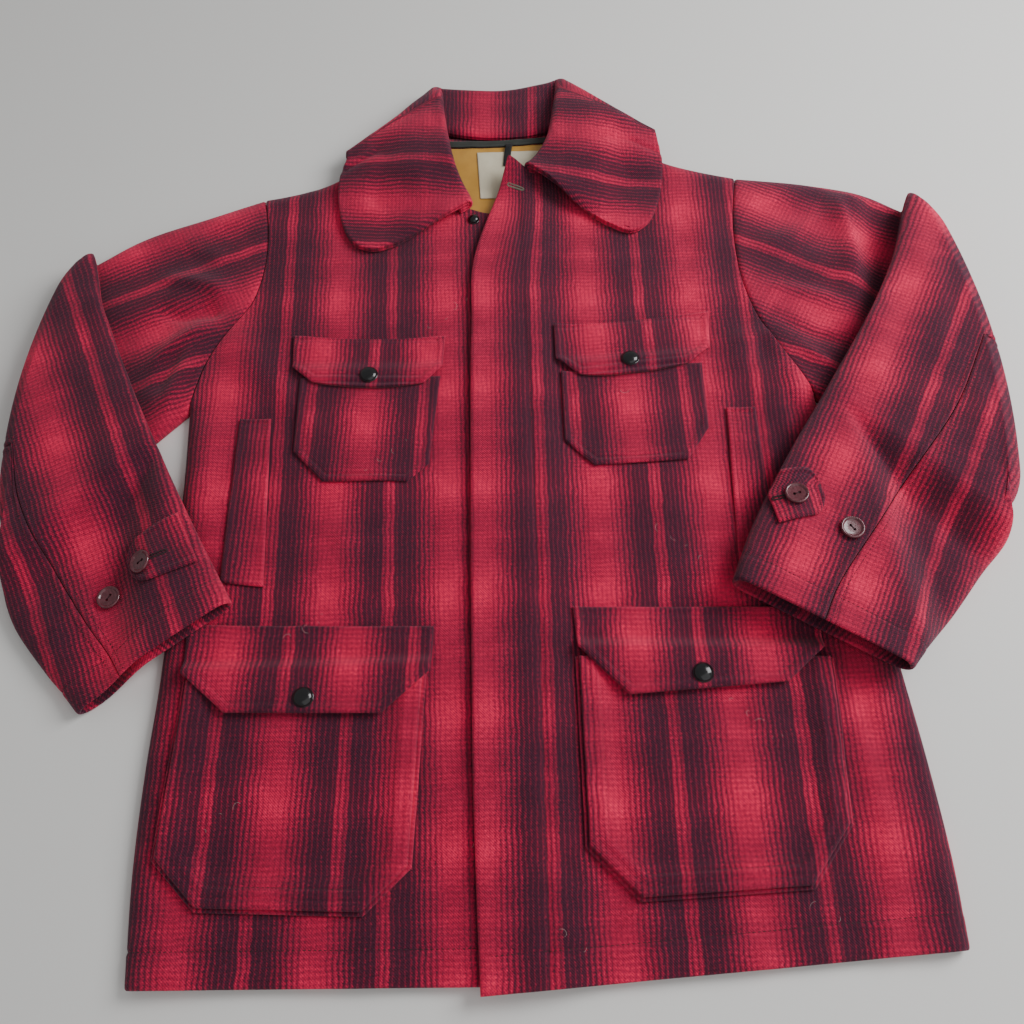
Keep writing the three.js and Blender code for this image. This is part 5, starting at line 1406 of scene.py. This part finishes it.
def buildButton(side, number, x, y, spin, height):
    look = buttonLook
    r, h = look["radius"], look["height"]
    inner = r - look["rim"]
    dish = h - look["dish"]
    profile = [(0, 0), (r * 0.8, 0), (r * 0.95, 0.6), (r, 1.3), (r, 2.2), (r * 0.975, 2.9),
               (r * 0.93, h - 0.08), (r * 0.89, h), (r * 0.84, h - 0.15), (inner, h - 0.7),
               (inner - 0.7, dish + 0.1), (inner - 1.6, dish), (inner * 0.5, dish - 0.05), (0, dish - 0.05)]
    name = f"cuff_button_{side}_{number}"
    piece, base, across, along, up = turned(
        f"{name}_disc", profile, (x, y), height, r * 0.85, "brown_button")
    way = math.cos(spin) * across + math.sin(spin) * along
    holes = [base + way * look["apart"] * k for k in (-1, 1)]
    for hole in holes:
        bpy.ops.mesh.primitive_cylinder_add(vertices=24, radius=look["hole"] / 1000, depth=0.012)
        cutter = bpy.context.object
        cutter.location = [float(c) for c in (hole + shift) / 1000]
        cutter.rotation_mode = "QUATERNION"
        cutter.rotation_quaternion = Vector(up).to_track_quat("Z", "Y")
        cut = piece.modifiers.new("hole", "BOOLEAN")
        cut.operation, cut.object, cut.solver = "DIFFERENCE", cutter, "EXACT"
        bpy.context.view_layer.objects.active = piece
        bpy.ops.object.modifier_apply(modifier=cut.name)
        bpy.data.objects.remove(cutter)
    for polygon in piece.data.polygons:
        polygon.use_smooth = True
    piece.data.set_sharp_from_angle(angle=math.radians(look["sharpFrom"]))
    standsFor(piece, name)
    low, high = dish - look["tieDepth"], dish + 0.1
    for k in (-look["tieApart"], look["tieApart"]):
        spread = np.cross(up, way) * k
        path = [holes[end] + spread + up * rise for end, rise in ((0, low), (0, high), (1, high), (1, low))]
        threads["button_thread"].append((path, look["tie"]))


# Threads gathered under a name, then made as one piece of thin tubes with closed ends
threadPitch = {"around": 0.3, "along": 0.8}


def threadPiece(name, material, segments=6):
    vertices, faces, uvs = [], [], []
    angle = np.linspace(0, 2 * math.pi, segments, endpoint=False)[None, :, None]
    count = 0
    for path, radius in threads[name]:
        path = np.array(path, float)
        rows = len(path)
        way = unitAlong(np.gradient(path, axis=0))
        up = np.array([0, 0, 1.0]) if abs(way[:, 2]).max() < 0.95 else np.array([0.6, 0.8, 0])
        side = unitAlong(np.cross(way, up))
        other = np.cross(side, way)
        size = np.full(rows, radius)
        size[[0, -1]] *= 0.45
        ring = path[:, None] + size[:, None, None] * (
            np.cos(angle) * side[:, None] + np.sin(angle) * other[:, None])
        at = count + np.arange(rows * segments).reshape(rows, segments)
        after = np.roll(at, -1, axis=1)
        faces.append(np.stack([k.ravel() for k in (at[:-1], after[:-1], after[1:], at[1:])], 1))
        for end, flip in ((at[0], 1), (at[-1], -1)):
            fan = [[end[i], end[i + 1], end[segments - 2 - i], end[segments - 1 - i]]
                   for i in range(segments // 2 - 1)]
            faces.append(np.array(fan)[:, ::-flip])
        vertices.append(ring.reshape(-1, 3))
        uvs.append(np.stack([np.tile(np.arange(segments) * threadPitch["around"], rows),
                             np.repeat(np.arange(rows) * threadPitch["along"], segments)], 1))
        count += rows * segments
    meshPiece(f"{name}_all", np.concatenate(vertices), np.concatenate(faces), material, np.concatenate(uvs))


def insetLine(line, inset):
    line = np.array(line, float)
    return line + miters(line) * inset


def sewPatches():
    for side in bothSides:
        for kind, look in patchLooks.items():
            name = f"{kind}_{side}"
            rows = patches[name]
            v = np.linspace(0, 1, 2 * len(rows["sag"]) - 1)
            left, right = patchPlan(rows, 0 * v, v), patchPlan(rows, 0 * v + 1, v)
            foot = patchPlan(rows, np.linspace(0, 1, 9)[1:-1], np.zeros(7))
            line = list(zip(*left))[::-1] + list(zip(*foot)) + list(zip(*right))
            for place in look["stitch"]:
                path = denser(insetLine(line, place), 4)
                z = tops[name](path[:, 0], path[:, 1]) - stitchLook["patchSink"]
                sewLine(np.column_stack([path, z]), np.tile([0, 0, 1.0], (len(path), 1)))


def denser(line, pitch):
    size = np.concatenate([[0], np.cumsum(np.hypot(*np.diff(line, axis=0).T))])
    at = np.linspace(0, size[-1], int(size[-1] / pitch) + 2)
    return np.stack([np.interp(at, size, line[:, k]) for k in (0, 1)], 1)


# Worked buttonholes: middle, direction, length, on which surface
buttonholes = {
    "lap": {"place": (3.5, 351), "turn": -0.3, "length": 14, "threads": "buttonholes"},
    "right": {"place": (-293, -57), "turn": 0.48, "length": 22, "threads": "cuff_holes"},
    "left": {"place": (228, -5), "turn": 0.19, "length": 22, "threads": "cuff_holes"},
}
holeLook = {"reach": 1.9, "pitch": 0.62, "radius": 0.3, "slit": 0.5}


def workButtonhole(name, height):
    hole, look = buttonholes[name], holeLook
    wayX, wayY = math.cos(hole["turn"]), math.sin(hole["turn"])
    half = hole["length"] / 2
    slit = look["slit"]
    rounds = [(s, slit * k, 0.0, float(k)) for k in (-1, 1) for s in np.arange(-half, half, look["pitch"])]
    rounds += [(end * half + slit * end * math.cos(a), slit * math.sin(a), end * math.cos(a), math.sin(a))
               for end in (-1, 1) for a in np.linspace(-1.4, 1.4, 7)]
    for s, off, alongWay, acrossWay in rounds:
        path = []
        for reach, rise in ((0, -0.3), (0.25, 0.35), (1.0, 0.4), (look["reach"], -0.2)):
            a, b = s + alongWay * reach, off + acrossWay * reach
            x = hole["place"][0] + wayX * a - wayY * b
            y = hole["place"][1] + wayY * a + wayX * b
            path.append((x, y, float(height(x, y)) + rise))
        threads[hole["threads"]].append((path, look["radius"]))


# Lint: a few pale fibres caught in the nap, each a loose curl
lintLook = {"count": 30, "radius": 0.075, "length": 6}


def strewLint():
    for i in range(lintLook["count"]):
        side = "left" if i % 2 else "right"
        sign = 1 if i % 2 else -1
        x0 = sign * (30 + 210 * ((i * 0.618) % 1))
        y0 = -360 + 620 * ((i * 0.377 + 0.13) % 1)
        turn, bend = i * 2.4, 1.2 + (i % 5) * 0.4
        t = np.linspace(0, 1, 8)
        size = lintLook["length"] * (0.5 + (i * 0.271) % 1)
        x = x0 + size * t * np.cos(turn + bend * t)
        y = y0 + size * t * np.sin(turn + bend * t)
        z = topmost(side, x, y) + 0.25 + 0.5 * np.sin(t * 3 + i)
        threads["lint"].append((np.stack([x, y, z], 1), lintLook["radius"]))


# The upper face of the body's cloth, with the pockets and flaps on it
def topmost(side, x, y):
    z = frontHeight(side, x, y)
    for kind in ("chest_pocket", "chest_flap", "hip_pocket", "hip_flap"):
        name = f"{kind}_{side}"
        z = np.where(insideOf(x, y, patchOutline(patches[name])), tops[name](x, y), z)
    return z


def buildTrims():
    for side in bothSides:
        for kind in ("chest", "hip"):
            flap = tops[f"{kind}_flap_{side}"]
            buildSnap(f"{kind}_snap_{side}", lambda x, y, flap=flap: float(flap(x, y)), snapLook["radius"])
        buildTab(side)
        onTab = tops[f"cuff_tab_{side}"]
        workButtonhole(side, onTab)
        for number, (x, y, isOnTab, spin) in enumerate(cuffButtons[side], 1):
            height = onTab if isOnTab else lambda px, py, side=side: sleeveTop(side, px, py)
            buildButton(side, number, x, y, spin, height)
    buildSnap("neck_snap", lambda x, y: float(frontHeight("right", x, y)), snapLook["neckRadius"])
    workButtonhole("lap", lambda x, y: frontHeight("left", x, y))


buildCollar()
for side in bothSides:
    buildPockets(side)
buildNeck()
buildTrims()
sewPatches()
strewLint()
for name, material in (("stitches", "dark_thread"), ("button_thread", "dark_thread"),
                       ("buttonholes", "hole_thread"), ("cuff_holes", "dark_thread"),
                       ("lint", "pale_lint")):
    threadPiece(name, material)
print("collar, pockets and trims made")


# The cloth pieces: CAD node, slot, how each is held, on what, its cut size in metres and how much
# of that rectangle it fills
onFronts = ["front_right_cloth", "front_left_cloth"]
sheets = [
    ("jacket_back", "back_panel", "plaid_wool", "laid", [], (0.66, 0.84), 0.80),
    ("front_right_cloth", "front_right", "plaid_wool", "laid", ["jacket_back"], (0.34, 0.80), 0.80),
    ("front_left_cloth", "front_left", "plaid_wool", "laid", onFronts[:1], (0.36, 0.82), 0.80),
    ("fly_ply", "fly_left", "plaid_wool", "laid", onFronts[:1], (0.06, 0.66), 0.9),
    ("collar_top_cloth", "collar_upper", "plaid_wool", "folded", onFronts, (0.55, 0.16), 0.9),
    ("collar_under_cloth", "collar_under", "plaid_wool", "folded", onFronts, (0.55, 0.16), 0.9),
]
neckCuts = (
    ("back_neck_lining", "satin_lining", "jacket_back", (0.18, 0.12), 0.85),
    ("label_blank", "label_cloth", "back_neck_lining_cloth", (0.07, 0.055), 0.95),
    ("neck_binding", "dark_binding", "back_neck_lining_cloth", (0.12, 0.01), 0.8),
    ("hanger_loop", "black_tape", "label_blank_cloth", (0.01, 0.03), 0.7))
sheets += [(f"{node}_cloth", node, slot, "laid", [under], *cut) for node, slot, under, *cut in neckCuts]
sleeveCuts = {"right": {"upper": ((0.27, 0.60), 0.82), "under": ((0.16, 0.55), 0.85)},
              "left": {"upper": ((0.33, 0.62), 0.9), "under": ((0.17, 0.55), 0.85)}}
patchCuts = {
    "cuff_tab": ("sleeve_{}_under", (0.05, 0.06), 0.85),
    "chest_pocket": ("front_{}_cloth", (0.13, 0.11), 0.93),
    "chest_flap": ("chest_pocket_{}_cloth", (0.145, 0.055), 0.93),
    "hip_pocket": ("front_{}_cloth", (0.2, 0.18), 0.95),
    "hip_flap": ("hip_pocket_{}_cloth", (0.2, 0.075), 0.93),
    "hip_gusset": ("front_{}_cloth", (0.011, 0.52), 0.9),
    "hand_welt": ("front_{}_cloth", (0.034, 0.165), 0.9),
}
for side in bothSides:
    sheets += [(f"sleeve_{side}_{part}", f"{part}_sleeve_{side}", "plaid_wool", "folded",
                [f"front_{side}_cloth"], *cut) for part, cut in sleeveCuts[side].items()]
    sheets += [(f"{kind}_{side}_cloth", f"{kind}_{side}", "plaid_wool", "laid", [under.format(side)], *cut)
               for kind, (under, *cut) in patchCuts.items()]
for name, node, slot, held, under, size, share in sheets:
    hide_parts(node)


# Floor, light and camera; what a user would change
stageLook = {"floor": (0.80, 0.79, 0.77, 1), "floorReach": 6, "world": 0.34}
lightLooks = {"key_light": {"place": (1.2, 0.42, 1.08), "power": 25, "size": 0.9},
              "fill_light": {"place": (0.8, -1.1, 1.3), "power": 9, "size": 2.2}}
cameraLook = {"place": (0, -367.7, 788.5), "tilt": 25, "lens": 35.16, "sensor": 36}


def buildStage():
    reach = stageLook["floorReach"]
    mesh = bpy.data.meshes.new("plain_floor")
    corners = [(x * reach, y * reach, 0) for x, y in ((-1, -1), (1, -1), (1, 1), (-1, 1))]
    mesh.from_pydata(corners, [], [(0, 1, 2, 3)])
    principled = newMaterial("pale_floor", 0.85, Specular_IOR_Level=0.2)[1]
    principled.inputs["Base Color"].default_value = stageLook["floor"]
    mesh.materials.append(materials["pale_floor"])
    linked("plain_floor", mesh)
    world = bpy.data.worlds.new("soft_room")
    world.use_nodes = True
    background = world.node_tree.nodes["Background"]
    background.inputs[0].default_value = (1, 1, 1, 1)
    background.inputs[1].default_value = stageLook["world"]
    bpy.context.scene.world = world
    for name, look in lightLooks.items():
        light = bpy.data.lights.new(name, "AREA")
        light.energy, light.size = look["power"], look["size"]
        lamp = linked(name, light)
        lamp.location = look["place"]
        lamp.rotation_mode = "QUATERNION"
        lamp.rotation_quaternion = (-Vector(look["place"])).to_track_quat("-Z", "Y")
    data = bpy.data.cameras.new("photo_camera")
    data.lens, data.sensor_width = cameraLook["lens"], cameraLook["sensor"]
    data.clip_start, data.clip_end = 0.01, 20
    camera = linked("photo_camera", data)
    camera.location = [float(c) for c in (np.array(cameraLook["place"]) + shift) / 1000]
    camera.rotation_euler = (math.radians(cameraLook["tilt"]), 0, 0)
    bpy.context.scene.camera = camera


buildStage()
